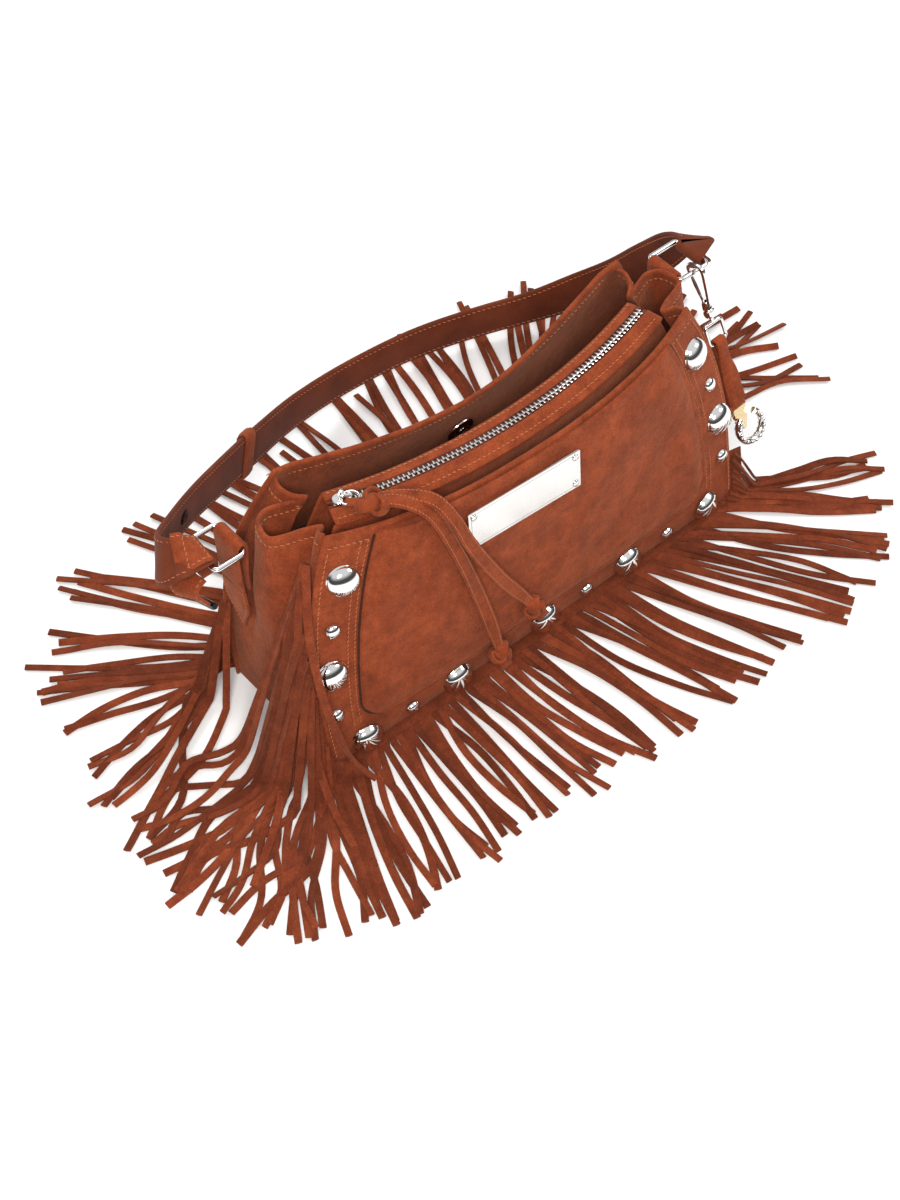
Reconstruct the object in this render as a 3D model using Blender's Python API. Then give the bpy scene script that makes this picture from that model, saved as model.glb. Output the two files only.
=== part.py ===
"""Fringed suede shoulder bag with a zipped middle pouch, domed studs, a strap and a bag charm.

Metres, +Z up. The bag stands on its base, which lies on Z = 0 with its centre at the origin.
The front faces -Y and the width runs along X.
"""

from math import asin, cos, degrees, pi, radians, sin, sqrt

import bmesh
import bpy
from mathutils import Matrix, Vector

MM = 0.001
GAP = 0.4 * MM

# Driving sizes of the body.
HALF_WIDTH = 153 * MM
HEIGHT = 158 * MM
HALF_DEPTH = 44 * MM
SUEDE = 2.0 * MM
BASE_THICK = 2.4 * MM
TOP_NARROWING = 25 * MM

# The zip runs on a level arc that bows towards the front.
ZIP_HALF_CHORD = 112 * MM
ZIP_BOW = 18 * MM
ZIP_MID_Y = -19 * MM
ZIP_Z = 154.4 * MM
ZIP_RADIUS = (ZIP_HALF_CHORD**2 + ZIP_BOW**2) / (2 * ZIP_BOW)
ZIP_CENTRE_Y = ZIP_MID_Y + ZIP_RADIUS
ZIP_HALF_ANGLE = asin(ZIP_HALF_CHORD / ZIP_RADIUS)
SLIDER_ANGLE = -ZIP_HALF_ANGLE + 0.024

# Studs, rings, strap and charm.
LARGE_STUD_R = 10 * MM
SMALL_STUD_R = 4.4 * MM
STUD_PITCH = 32.5 * MM
RING_Z = 138 * MM
RING_Y = 26 * MM
RING_IN_X = 156 * MM
LEFT_RING_OUT_X = 175 * MM
RIGHT_RING_OUT_X = 178 * MM
RING_HALF_Y = 13 * MM
RING_WIRE_R = 1.5 * MM
STRAP_WIDTH = 26 * MM
STRAP_THICK = 2.6 * MM
HOOK_X = 168.5 * MM
CHARM_LEAN = Vector((9, -51, -117))

# Fringe.
FRINGE_THICK = 1.4 * MM
FRINGE_PITCH = 10.5 * MM
FRINGE_SLIT = 0.22
FLOOR_Z = 1.1 * MM


def clear_scene():
    for obj in list(bpy.data.objects):
        bpy.data.objects.remove(obj)


def material(name, colour, roughness, metallic=0.0):
    found = bpy.data.materials.get(name)
    if found:
        return found
    made = bpy.data.materials.new(name)
    made.use_nodes = True
    shader = made.node_tree.nodes["Principled BSDF"]
    shader.inputs["Base Color"].default_value = (*colour, 1.0)
    shader.inputs["Roughness"].default_value = roughness
    shader.inputs["Metallic"].default_value = metallic
    made.diffuse_color = (*colour, 1.0)
    return made


def suede():
    return material("suede", (0.36, 0.085, 0.028), 0.95)


def lining_cloth():
    return material("lining", (0.02, 0.016, 0.02), 0.8)


def strap_leather():
    return material("strap_leather", (0.115, 0.032, 0.018), 0.5)


def steel():
    return material("steel", (0.82, 0.81, 0.79), 0.12, 1.0)


def dark_steel():
    return material("dark_steel", (0.12, 0.11, 0.11), 0.3, 1.0)


def gold():
    return material("gold", (0.83, 0.68, 0.42), 0.2, 1.0)


def add_object(name, mesh, mat, parent=None):
    obj = bpy.data.objects.new(name, mesh)
    bpy.context.scene.collection.objects.link(obj)
    mesh.materials.append(mat)
    if parent is not None:
        obj.parent = parent
    return obj


def mesh_from(name, points, faces):
    """A mesh of these points and faces with its normals turned outwards."""
    mesh = bpy.data.meshes.new(name)
    bm = bmesh.new()
    verts = [bm.verts.new(p) for p in points]
    for face in faces:
        bm.faces.new([verts[i] for i in face])
    bmesh.ops.recalc_face_normals(bm, faces=bm.faces)
    bm.to_mesh(mesh)
    bm.free()
    return mesh


def smooth(mesh, angle=35):
    mesh.shade_smooth()
    mesh.set_sharp_from_angle(angle=radians(angle))


def slab(name, near, far, columns, rows, mat):
    """A closed curved panel between two surfaces, each a function of (s, t) on 0 to 1."""
    points = []
    for surface in (near, far):
        for j in range(rows + 1):
            for i in range(columns + 1):
                points.append(surface(i / columns, j / rows))
    across = columns + 1
    second = across * (rows + 1)

    def at(i, j, layer):
        return layer * second + j * across + i

    faces = []
    for j in range(rows):
        for i in range(columns):
            faces.append([at(i, j, 0), at(i + 1, j, 0), at(i + 1, j + 1, 0), at(i, j + 1, 0)])
            faces.append([at(i, j + 1, 1), at(i + 1, j + 1, 1), at(i + 1, j, 1), at(i, j, 1)])
    for i in range(columns):
        for j in (0, rows):
            faces.append([at(i, j, 0), at(i, j, 1), at(i + 1, j, 1), at(i + 1, j, 0)])
    for j in range(rows):
        for i in (0, columns):
            faces.append([at(i, j, 0), at(i, j + 1, 0), at(i, j + 1, 1), at(i, j, 1)])
    mesh = mesh_from(name, points, faces)
    smooth(mesh)
    return add_object(name, mesh, mat)


def swept(name, sections, mat, closed=False):
    """A solid through a list of sections, each a ring of the same number of points."""
    count = len(sections[0])
    points = [p for section in sections for p in section]
    faces = []
    spans = len(sections) if closed else len(sections) - 1
    for k in range(spans):
        a, b = k * count, ((k + 1) % len(sections)) * count
        for i in range(count):
            j = (i + 1) % count
            faces.append([a + i, a + j, b + j, b + i])
    if not closed:
        faces.append(list(range(count)))
        faces.append([(len(sections) - 1) * count + i for i in range(count)])
    mesh = mesh_from(name, points, faces)
    smooth(mesh)
    return add_object(name, mesh, mat)


def turned(name, profile, segments, mat, frame):
    """A solid turned about its local Z from (radius, height) pairs that start and end on the axis."""
    points, rings = [], []
    for radius, height in profile:
        if radius == 0:
            rings.append([len(points)])
            points.append(frame @ Vector((0, 0, height)))
            continue
        start = len(points)
        for k in range(segments):
            turn = 2 * pi * k / segments
            points.append(frame @ Vector((radius * cos(turn), radius * sin(turn), height)))
        rings.append(list(range(start, start + segments)))
    faces = []
    for low, high in zip(rings, rings[1:]):
        for k in range(segments):
            n = (k + 1) % segments
            if len(low) == 1:
                faces.append([low[0], high[k], high[n]])
            elif len(high) == 1:
                faces.append([low[k], low[n], high[0]])
            else:
                faces.append([low[k], low[n], high[n], high[k]])
    mesh = mesh_from(name, points, faces)
    smooth(mesh)
    return add_object(name, mesh, mat)


def wire(name, route, radius, mat, closed=False, sides=8):
    """A round wire along a route of points."""
    count = len(route)
    sections = []
    normal = None
    for k, point in enumerate(route):
        before = route[k - 1] if closed or k else point
        after = route[(k + 1) % count] if closed or k < count - 1 else point
        along = (after - before).normalized()
        if normal is None:
            normal = along.orthogonal().normalized()
        normal = (normal - along * normal.dot(along)).normalized()
        other = along.cross(normal)
        ring = []
        for i in range(sides):
            turn = 2 * pi * i / sides
            ring.append(point + (normal * cos(turn) + other * sin(turn)) * radius)
        sections.append(ring)
    return swept(name, sections, mat, closed)


def facing(point, normal):
    """A frame at point whose local Z is the normal."""
    turn = Vector((0, 0, 1)).rotation_difference(normal).to_matrix().to_4x4()
    return Matrix.Translation(point) @ turn


def eased(t):
    return t * t * (3 - 2 * t)


def blend(a, b, t):
    return a + (b - a) * t


# --- Outer surfaces of the body, as functions of u from -1 to 1 and v from 0 to 1 ---


def half_width(v):
    return HALF_WIDTH + 8 * MM * v * (1 - v) - TOP_NARROWING * v**3.2


def front_point(u, v, out=0.0):
    """The front panel's outer face, moved outwards by out."""
    top = HEIGHT - 4 * MM * (1 - u * u)
    z = 1.2 * MM + (top - 1.2 * MM) * v
    curl = 3.5 * MM * max(0.0, 1 - z / (15 * MM)) ** 2
    belly = 2.5 * MM * sin(pi * v) * (1 - u * u)
    y = -HALF_DEPTH - 2 * MM + v * (22 * MM * abs(u) ** 2.5 + 4 * MM) + curl - belly
    return Vector((u * half_width(v), y - out, z))


def front_normal(u, v):
    step = 0.01
    across = front_point(u + step, v) - front_point(u - step, v)
    rise = front_point(u, v + step) - front_point(u, v - step)
    return across.cross(rise).normalized()


def back_point(u, v, inward=0.0):
    """The back panel's outer face, moved towards the inside by inward."""
    u = max(-1.0, min(1.0, u))
    sag = (1 - u * u) ** 1.3
    z = 1.2 * MM + (HEIGHT + 2 * MM - 14 * MM * sag - 1.2 * MM) * v
    top_y = 16 * MM + 21 * MM * abs(u) ** 1.6
    y = HALF_DEPTH + 1 * MM + 3 * MM * sin(pi * v) - (HALF_DEPTH + 1 * MM - top_y) * v**2.2
    return Vector((u * (half_width(v) - 4 * MM * v**3), y - inward, z))


def zip_point(angle, outward, z):
    """A point on the level zip arc; outward is measured from the zip's line towards the front."""
    radius = ZIP_RADIUS + outward
    return Vector((radius * sin(angle), ZIP_CENTRE_Y - radius * cos(angle), z))


# --- Body panels ---


def make_front_panel():
    def outer(s, t):
        return front_point(2 * s - 1, t)

    def inner(s, t):
        return front_point((2 * s - 1) * 0.995, t, -SUEDE)

    slab("front_panel", outer, inner, 18, 7, suede())


def make_front_lining():
    def outer(s, t):
        return front_point((2 * s - 1) * 0.92, 0.14 + 0.78 * t, -SUEDE - 0.8 * MM)

    def inner(s, t):
        return front_point((2 * s - 1) * 0.92, 0.14 + 0.78 * t, -SUEDE - 1.6 * MM)

    slab("front_lining", outer, inner, 12, 3, lining_cloth())


PATCH_LOW = 0.157
PATCH_TOP = 0.985
PATCH_CORNER = 0.13


def patch_u(s, t):
    """Where the puffed patch's column s lies across the panel at its height t."""
    rounding = max(0.0, 1 - t / PATCH_CORNER)
    reach = 0.845 - 0.045 * t - 0.13 * (1 - sqrt(max(0.0, 1 - rounding**2)))
    return (2 * s - 1) * reach


def make_front_patch():
    def under(s, t):
        return front_point(patch_u(s, t), blend(PATCH_LOW, PATCH_TOP, t), 2 * GAP)

    def over(s, t):
        side = 1 - abs(2 * s - 1) ** 6
        rise = min(1.0, 6 * t) * min(1.0, 3 * (1 - t) + 0.25)
        puff = 1.4 * MM + 3.6 * MM * side * eased(rise)
        return front_point(patch_u(s, t), blend(PATCH_LOW, PATCH_TOP, t), 2 * GAP + puff)

    slab("front_patch", under, over, 16, 8, suede())


def make_back_panel():
    def outer(s, t):
        return back_point(2 * s - 1, t)

    def inner(s, t):
        return back_point((2 * s - 1) * 0.995, t, SUEDE)

    slab("back_panel", outer, inner, 18, 7, suede())


def make_back_lining():
    def outer(s, t):
        return back_point((2 * s - 1) * 0.88, 0.06 + 0.74 * t, SUEDE + 1.2 * MM)

    def inner(s, t):
        return back_point((2 * s - 1) * 0.88, 0.06 + 0.74 * t, SUEDE + 2.0 * MM)

    slab("back_lining", outer, inner, 12, 5, lining_cloth())


# The folded end wall in plan at its top, from the back corner to the front corner:
# (x, y, height) in millimetres, with the folds that point inwards between three lobes.
GUSSET_TOP = [
    (121, 34.6, 157),
    (124, 24, 154),
    (114, 13, 151),
    (126, 18, 150),
    (139, 22, 149),
    (146, 14, 149),
    (147, 6, 149),
    (132, -1, 150),
    (121, -7, 151),
    (127, -12, 153),
    (127, -17.6, 156),
]


def gusset_point(side, s, t, inward):
    """The end wall at column s (0 at the back) and height t, moved inwards."""
    last = len(GUSSET_TOP) - 1
    k = min(int(s * last), last - 1)
    top = blend(Vector(GUSSET_TOP[k]), Vector(GUSSET_TOP[k + 1]), s * last - k) * MM
    share = (GUSSET_TOP[0][1] * MM - top.y) / ((GUSSET_TOP[0][1] - GUSSET_TOP[-1][1]) * MM)
    low = BASE_THICK + GAP
    z = blend(low, top.z, t)
    v = z / HEIGHT
    back_y = back_point(0.94, v).y - SUEDE - 2 * GAP
    front_y = front_point(1.0, v).y + SUEDE + 3 * GAP
    y = blend(back_y, front_y, blend(s, share, t**1.4))
    x = blend(half_width(0) - 1.4 * MM, top.x, t**2.6) + 2.5 * MM * sin(pi * t) * sin(pi * s)
    return Vector((side * (x - inward), y, z))


def make_gussets():
    for side, name in ((-1, "gusset_left"), (1, "gusset_right")):

        def outer(s, t, side=side):
            return gusset_point(side, s, t, 0.0)

        def inner(s, t, side=side):
            return gusset_point(side, s, t, 1.8 * MM)

        slab(name, outer, inner, 20, 5, suede())


def make_base():
    half_x = half_width(0) - 3.5 * MM
    half_y = HALF_DEPTH - 3.6 * MM
    corner = 12 * MM
    outline = []
    for cx, cy, start in ((1, 1, 0), (-1, 1, 90), (-1, -1, 180), (1, -1, 270)):
        for k in range(5):
            turn = radians(start + 22.5 * k)
            centre_x, centre_y = cx * (half_x - corner), cy * (half_y - corner)
            outline.append((centre_x + corner * cos(turn), centre_y + corner * sin(turn)))
    sections = [[Vector((x, y, z)) for x, y in outline] for z in (0.0, BASE_THICK)]
    swept("base_panel", sections, suede())


def make_pouch():
    """The middle pouch's two walls, which hang from the zip's sides."""

    def wall(name, outward, foot_y, top_z, span, toward):
        def face(s, t, inward):
            angle = (2 * s - 1) * span
            top = zip_point(angle, outward, top_z)
            reach = blend(half_width(0) - 8 * MM, abs(top.x) / max(1e-6, abs(2 * s - 1)), t**2.6)
            x = (2 * s - 1) * reach if s != 0.5 else 0.0
            y = blend(foot_y, top.y, t**1.3)
            return Vector((x, y + toward * inward, blend(BASE_THICK + GAP, top_z, t)))

        def near(s, t):
            return face(s, t, 0.0)

        def far(s, t):
            return face(s, t, 1.4 * MM)

        slab(name, near, far, 12, 4, suede())

    span = ZIP_HALF_ANGLE * 0.985
    wall("pouch_back_wall", -9.0 * MM, 12 * MM, ZIP_Z - 1.6 * MM, span, 1)
    wall("pouch_front_wall", 11.5 * MM, -15 * MM, ZIP_Z - 4.6 * MM, span, 1)


# --- Zip ---


def arc_bar(name, corners, low_angle, high_angle, steps, mat):
    """A bar along the zip arc whose section is a list of (outward, height) corners."""
    sections = []
    for k in range(steps + 1):
        angle = blend(low_angle, high_angle, k / steps)
        sections.append([zip_point(angle, outward, ZIP_Z + height) for outward, height in corners])
    return swept(name, sections, mat)


def make_zip():
    reach = ZIP_HALF_ANGLE
    back = [(-9.6 * MM, -1.0 * MM), (-2.9 * MM, -0.6 * MM), (-2.9 * MM, 0.6 * MM), (-9.6 * MM, 0.4 * MM)]
    front = [(2.9 * MM, -0.6 * MM), (12.4 * MM, -4.0 * MM), (12.8 * MM, -2.6 * MM), (2.9 * MM, 0.6 * MM)]
    arc_bar("zip_side_back", back, -reach, reach, 18, suede())
    arc_bar("zip_side_front", front, -reach, reach, 18, suede())
    for name, sign in (("zip_teeth_back", -1), ("zip_teeth_front", 1)):
        near, far, half = sign * 0.7 * MM, sign * 2.6 * MM, 1.1 * MM
        corners = [(near, -half), (far, -half), (far, half), (near, half)]
        arc_bar(name, corners, -reach * 0.985, reach * 0.985, 18, steel())


SLIDER_HALF = 5.5 * MM


def slider_frame():
    """At the slider: local X along the zip to the right, local Y towards the back."""
    point = zip_point(SLIDER_ANGLE, 0.0, ZIP_Z)
    return Matrix.Translation(point) @ Matrix.Rotation(SLIDER_ANGLE, 4, "Z")


def make_slider():
    frame = slider_frame()
    outline = [(-1, -0.75), (0.55, -0.75), (1, -0.45), (1, 0.45), (0.55, 0.75), (-1, 0.75)]
    bm = bmesh.new()

    def plate(low, high):
        rings = []
        for z in (low, high):
            rings.append([bm.verts.new((x * SLIDER_HALF, y * SLIDER_HALF, z)) for x, y in outline])
        bm.faces.new(rings[0])
        bm.faces.new(rings[1])
        for k in range(len(outline)):
            n = (k + 1) % len(outline)
            bm.faces.new([rings[0][k], rings[0][n], rings[1][n], rings[1][k]])

    plate(-2.9 * MM, -1.6 * MM)
    plate(1.6 * MM, 2.9 * MM)
    bmesh.ops.recalc_face_normals(bm, faces=bm.faces)
    mesh = bpy.data.meshes.new("zip_slider")
    bm.to_mesh(mesh)
    bm.free()
    obj = add_object("zip_slider", mesh, steel())
    obj.matrix_world = frame
    post = box_helper("slider_post", Vector((-4.6, 0, 0)) * MM, Vector((1.2, 0.7, 4.4)) * MM, frame)
    bail = box_helper("slider_bail", Vector((0, 0, 5.0)) * MM, Vector((1.8, 6.4, 5.0)) * MM, frame)
    eye = box_helper("slider_eye", Vector((0, 0, 4.7)) * MM, Vector((4.0, 4.4, 3.0)) * MM, frame)
    for helper, operation in ((post, "UNION"), (bail, "UNION"), (eye, "DIFFERENCE")):
        cut = obj.modifiers.new(helper.name, "BOOLEAN")
        cut.operation = operation
        cut.object = helper
    return obj


def box_helper(name, centre, size, frame):
    """A hidden box that a Boolean uses."""
    mesh = bpy.data.meshes.new(name)
    bm = bmesh.new()
    bmesh.ops.create_cube(bm, size=1.0)
    bmesh.ops.scale(bm, vec=size, verts=bm.verts)
    bmesh.ops.translate(bm, vec=centre, verts=bm.verts)
    bm.to_mesh(mesh)
    bm.free()
    obj = add_object(name, mesh, steel())
    obj.matrix_world = frame
    obj.hide_render = True
    obj.display_type = "WIRE"
    return obj


PULL_RING_R = 5.2 * MM
PULL_WIRE_R = 0.7 * MM


def pull_pivot():
    return slider_frame() @ Vector((0, 0, 4.7 * MM))


def make_pull_ring():
    """A round ring through the slider's eye, lying forward over the zip's front side."""
    frame = slider_frame()
    pivot = pull_pivot()
    across = (frame.to_3x3() @ Vector((0.5, -0.87, 0.0))).normalized()
    centre = pivot + across * (PULL_RING_R - 0.1 * MM) + Vector((0, 0, 0.9 * MM))
    ahead = (centre - pivot).normalized()
    side = ahead.cross(Vector((0, 0, 1))).normalized()
    route = []
    for k in range(16):
        turn = 2 * pi * k / 16
        route.append(centre + (ahead * cos(turn) + side * sin(turn)) * PULL_RING_R)
    wire("pull_ring", route, PULL_WIRE_R, steel(), closed=True, sides=6)
    return centre + ahead * PULL_RING_R, ahead


def ribbon(name, stations, mat):
    """A flat strip through stations of (centre, half width vector, half thickness vector)."""
    sections = []
    for centre, wide, thick in stations:
        sections.append([centre - wide - thick, centre + wide - thick, centre + wide + thick, centre - wide + thick])
    return swept(name, sections, mat)


def smooth_route(points, per_span):
    """Points on a Catmull-Rom curve through the given ones."""
    found = []
    ends = [points[0] * 2 - points[1]] + list(points) + [points[-1] * 2 - points[-2]]
    for k in range(1, len(ends) - 2):
        a, b, c, d = ends[k - 1 : k + 3]
        for i in range(per_span):
            t = i / per_span
            found.append(
                0.5 * ((b * 2) + (c - a) * t + (a * 2 - b * 5 + c * 4 - d) * t * t
                       + (b * 3 - a - c * 3 + d) * t**3)
            )
    found.append(points[-1].copy())
    return found


def strip_stations(route, width, thick, out):
    """Stations of a strip whose flat side faces the direction out(k)."""
    stations = []
    last = len(route) - 1
    for k, point in enumerate(route):
        along = (route[min(k + 1, last)] - route[max(k - 1, 0)]).normalized()
        normal = out(k / last)
        normal = (normal - along * normal.dot(along)).normalized()
        wide = along.cross(normal).normalized()
        stations.append((point, wide * width / 2, normal * thick / 2))
    return stations


# The thong's knot and its two tails: (x, y, z) in millimetres, from the knot to the tip.
KNOT_AT = Vector((-97.5, -21, 163)) * MM
TAIL_RUNS = {
    "thong_tail_long": [(-97, -22, 163.5), (-88, -32, 165.5), (-80, -42, 162), (-74, -48, 150), (-64, -52.5, 116),
                        (-52, -55, 72), (-44, -57, 36), (-41, -59, 22)],
    "thong_tail_short": [(-96.5, -21, 163), (-84, -31, 165), (-72, -43, 163), (-65, -50.5, 148),
                         (-59, -54.5, 124), (-40, -57, 86), (-22, -58.5, 56), (-16, -59.5, 42)],
}


def make_thong():
    """The suede thong: a knot behind the ring and two tails that fall over the front."""
    profile = [(0, -6.5), (4.2, -6.0), (6.6, -3.0), (7.0, 1.0), (5.6, 4.6), (0, 6.5)]
    profile = [(r * MM, h * MM) for r, h in profile]
    place = facing(KNOT_AT, Vector((0.66, -0.72, 0.2)).normalized())
    knot = turned("pull_thong", profile, 10, suede(), place)
    for name, run in TAIL_RUNS.items():
        route = smooth_route([Vector(p) * MM for p in run], 3)

        def out(part):
            lean = min(1.0, part * 3.5)
            return blend(Vector((0, -0.25, 1)), Vector((0, -1, 0.12)), lean)

        tail = ribbon(name, strip_stations(route, 7 * MM, 1.8 * MM, out), suede())
        tail.hide_render = True
        tail.display_type = "WIRE"
        join = knot.modifiers.new(name, "BOOLEAN")
        join.operation = "UNION"
        join.object = tail


# --- Front fittings ---


PLATE_U, PLATE_Z = -0.135, 135.5 * MM
PLATE_W, PLATE_H, PLATE_T = 76 * MM, 27 * MM, 1.2 * MM


def plate_frame():
    v = PLATE_Z / HEIGHT
    point = front_point(PLATE_U, v, 6.6 * MM)
    normal = Vector((PLATE_U * 0.35, -1, 0.06)).normalized()
    right = Vector((1, 0, 0))
    right = (right - normal * right.dot(normal)).normalized()
    up = normal.cross(right)
    turn = Matrix((right, up, normal)).transposed().to_4x4()
    return Matrix.Translation(point) @ turn


def make_nameplate():
    """A plain polished plate with one screw at each corner."""
    frame = plate_frame()
    half_w, half_h, bevel = PLATE_W / 2, PLATE_H / 2, 0.3 * MM
    sections = []
    for inset, z in ((0, 0), (0, PLATE_T - bevel), (bevel, PLATE_T)):
        w, h = half_w - inset, half_h - inset
        sections.append([frame @ Vector((x, y, z)) for x, y in ((-w, -h), (w, -h), (w, h), (-w, h))])
    swept("front_plate", sections, steel())
    margin = 3.6 * MM
    corners = [(sx, sy) for sy in (1, -1) for sx in (-1, 1)]
    for number, (sx, sy) in enumerate(corners, 1):
        centre = Vector((sx * (half_w - margin), sy * (half_h - margin), PLATE_T + 0.3 * MM))
        place = frame @ Matrix.Translation(centre)
        head = [(0, 0), (1.9, 0), (1.9, 0.35), (1.2, 0.8), (0, 0.95)]
        turned(f"plate_screw_{number}", [(r * MM, h * MM) for r, h in head], 8, steel(), place)


def stud(name, radius, height, segments, rings, point, normal):
    profile = [(0, 0), (radius, 0), (radius, height * 0.12)]
    for k in range(1, rings):
        turn = pi / 2 * k / rings
        profile.append((radius * cos(turn), height * (0.12 + 0.88 * sin(turn))))
    profile.append((0, height))
    turned(name, profile, segments, steel(), facing(point, normal))


SIDE_STUD_HEIGHTS = (131 * MM, 101 * MM, 71 * MM, 41 * MM)
BOTTOM_STUD_Z = 12.6 * MM


def stud_places():
    """(point, normal, is it large) along the left border, the bottom and the right border."""
    places = []
    def beside(side, z):
        v = z / HEIGHT
        inset = (9 + 10 * v**3) * MM
        u = side * (half_width(v) - inset) / half_width(v)
        normal = front_normal(u, v)
        return front_point(u, v) + normal * 1.1 * MM, normal

    for k, z in enumerate(SIDE_STUD_HEIGHTS):
        places.append((*beside(-1, z), k % 2 == 0))
    for k in range(-4, 5):
        x = k * STUD_PITCH
        u = x / half_width(0.06)
        point = front_point(u, BOTTOM_STUD_Z / HEIGHT, 1.3 * MM)
        point.z = BOTTOM_STUD_Z
        normal = Vector((0.35 * u**3, -1, -0.06)).normalized()
        places.append((point, normal, k % 2 == 0))
    for k, z in reversed(list(enumerate(SIDE_STUD_HEIGHTS))):
        places.append((*beside(1, z), k % 2 == 0))
    return places


def make_studs():
    counts = {True: 0, False: 0}
    for point, normal, large in stud_places():
        counts[large] += 1
        if large:
            stud(f"stud_large_{counts[True]}", LARGE_STUD_R, 5.6 * MM, 14, 3, point, normal)
        else:
            stud(f"stud_small_{counts[False]}", SMALL_STUD_R, 2.8 * MM, 8, 2, point, normal)


def make_magnet():
    """The two halves of the back compartment's magnetic snap, facing each other."""
    v = 122 / 158
    disc = [(0, 0), (8.5, 0), (9.0, 0.6), (8.5, 1.6), (4.0, 2.2), (0, 2.2)]
    disc = [(r * MM, h * MM) for r, h in disc]
    male = back_point(0.0, v, SUEDE + 3.0 * MM)
    turned("magnet_back", disc, 16, steel(), facing(male, Vector((0, -0.96, -0.28)).normalized()))
    pouch = Vector((0, 2.6, 118)) * MM
    turned("magnet_front", disc, 16, steel(), facing(pouch, Vector((0, 1, 0.16)).normalized()))


# --- Tabs, rings and strap ---


def make_tabs():
    """Each end's suede tab: sewn to the end wall, folded over the ring's inner bar."""
    for side, name in ((-1, "tab_left"), (1, "tab_right")):
        loop_r = 3.1 * MM
        face_x = RING_IN_X + loop_r
        back_x = RING_IN_X - loop_r
        profile = [(face_x - 4.2 * MM, 66 * MM), (face_x - 2.8 * MM, 84 * MM), (face_x - 0.6 * MM, 110 * MM)]
        for k in range(9):
            turn = pi * k / 8
            profile.append((RING_IN_X + loop_r * cos(turn), RING_Z + loop_r * sin(turn)))
        profile += [(back_x + 1.4 * MM, 124 * MM), (face_x - 4.0 * MM, 112 * MM), (face_x - 4.2 * MM, 100 * MM)]
        stations = []
        last = len(profile) - 1
        for k, (x, z) in enumerate(profile):
            x0, z0 = profile[max(k - 1, 0)]
            x1, z1 = profile[min(k + 1, last)]
            along = Vector((x1 - x0, 0, z1 - z0)).normalized()
            outward = Vector((along.z, 0, -along.x))
            half = 6 * MM if k == 0 else 10.4 * MM
            point = Vector((side * x, RING_Y, z))
            thick = Vector((side * outward.x, 0, outward.z)) * 0.7 * MM
            stations.append((point, Vector((0, half, 0)), thick))
        ribbon(name, stations, suede())


def make_rings():
    corner = 2.2 * MM
    for side, outer_x, name in ((-1, LEFT_RING_OUT_X, "ring_left"), (1, RIGHT_RING_OUT_X, "ring_right")):
        route = []
        corners = (
            (RING_IN_X + corner, RING_Y + RING_HALF_Y - corner, 90),
            (RING_IN_X + corner, RING_Y - RING_HALF_Y + corner, 180),
            (outer_x - corner, RING_Y - RING_HALF_Y + corner, 270),
            (outer_x - corner, RING_Y + RING_HALF_Y - corner, 0),
        )
        for x, y, start in corners:
            for k in range(3):
                turn = radians(start + 45 * k)
                route.append(Vector((side * (x + corner * cos(turn)), y + corner * sin(turn), RING_Z)))
        wire(name, route, RING_WIRE_R, steel(), closed=True)


# The strap's middle line and the way its outer face looks, from the left ring round the back
# to the right ring: (x, y, z) in millimetres, then a direction.
STRAP_RUN = [
    ((-180, 26, 141.4), (0, 0, 1)),
    ((-186, 29, 141), (-0.2, 0.0, 1)),
    ((-191, 37, 136), (-0.75, 0.0, 0.7)),
    ((-187, 50, 127), (-0.95, 0.1, 0.35)),
    ((-171, 67, 115), (-0.7, 0.6, 0.2)),
    ((-140, 90, 97), (-0.55, 0.75, 0.1)),
    ((-104, 112, 78), (-0.55, 0.8, 0.05)),
    ((-64, 136, 56), (-0.5, 0.85, 0.0)),
    ((-22, 158, 36), (-0.35, 0.93, 0.0)),
    ((26, 171, 22), (-0.1, 1.0, 0.0)),
    ((78, 170, 18), (0.15, 1.0, 0.0)),
    ((122, 159, 18), (0.35, 0.9, 0.0)),
    ((160, 142, 22), (0.6, 0.75, 0.0)),
    ((180, 119, 40), (0.9, 0.4, 0.0)),
    ((187, 93, 66), (1.0, 0.15, 0.1)),
    ((190, 69, 96), (1.0, 0.1, 0.15)),
    ((192, 47, 124), (0.85, 0.2, 0.45)),
    ((190, 33, 138), (0.35, 0.1, 0.9)),
    ((183.4, 26, 141.4), (0, 0, 1)),
]


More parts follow.
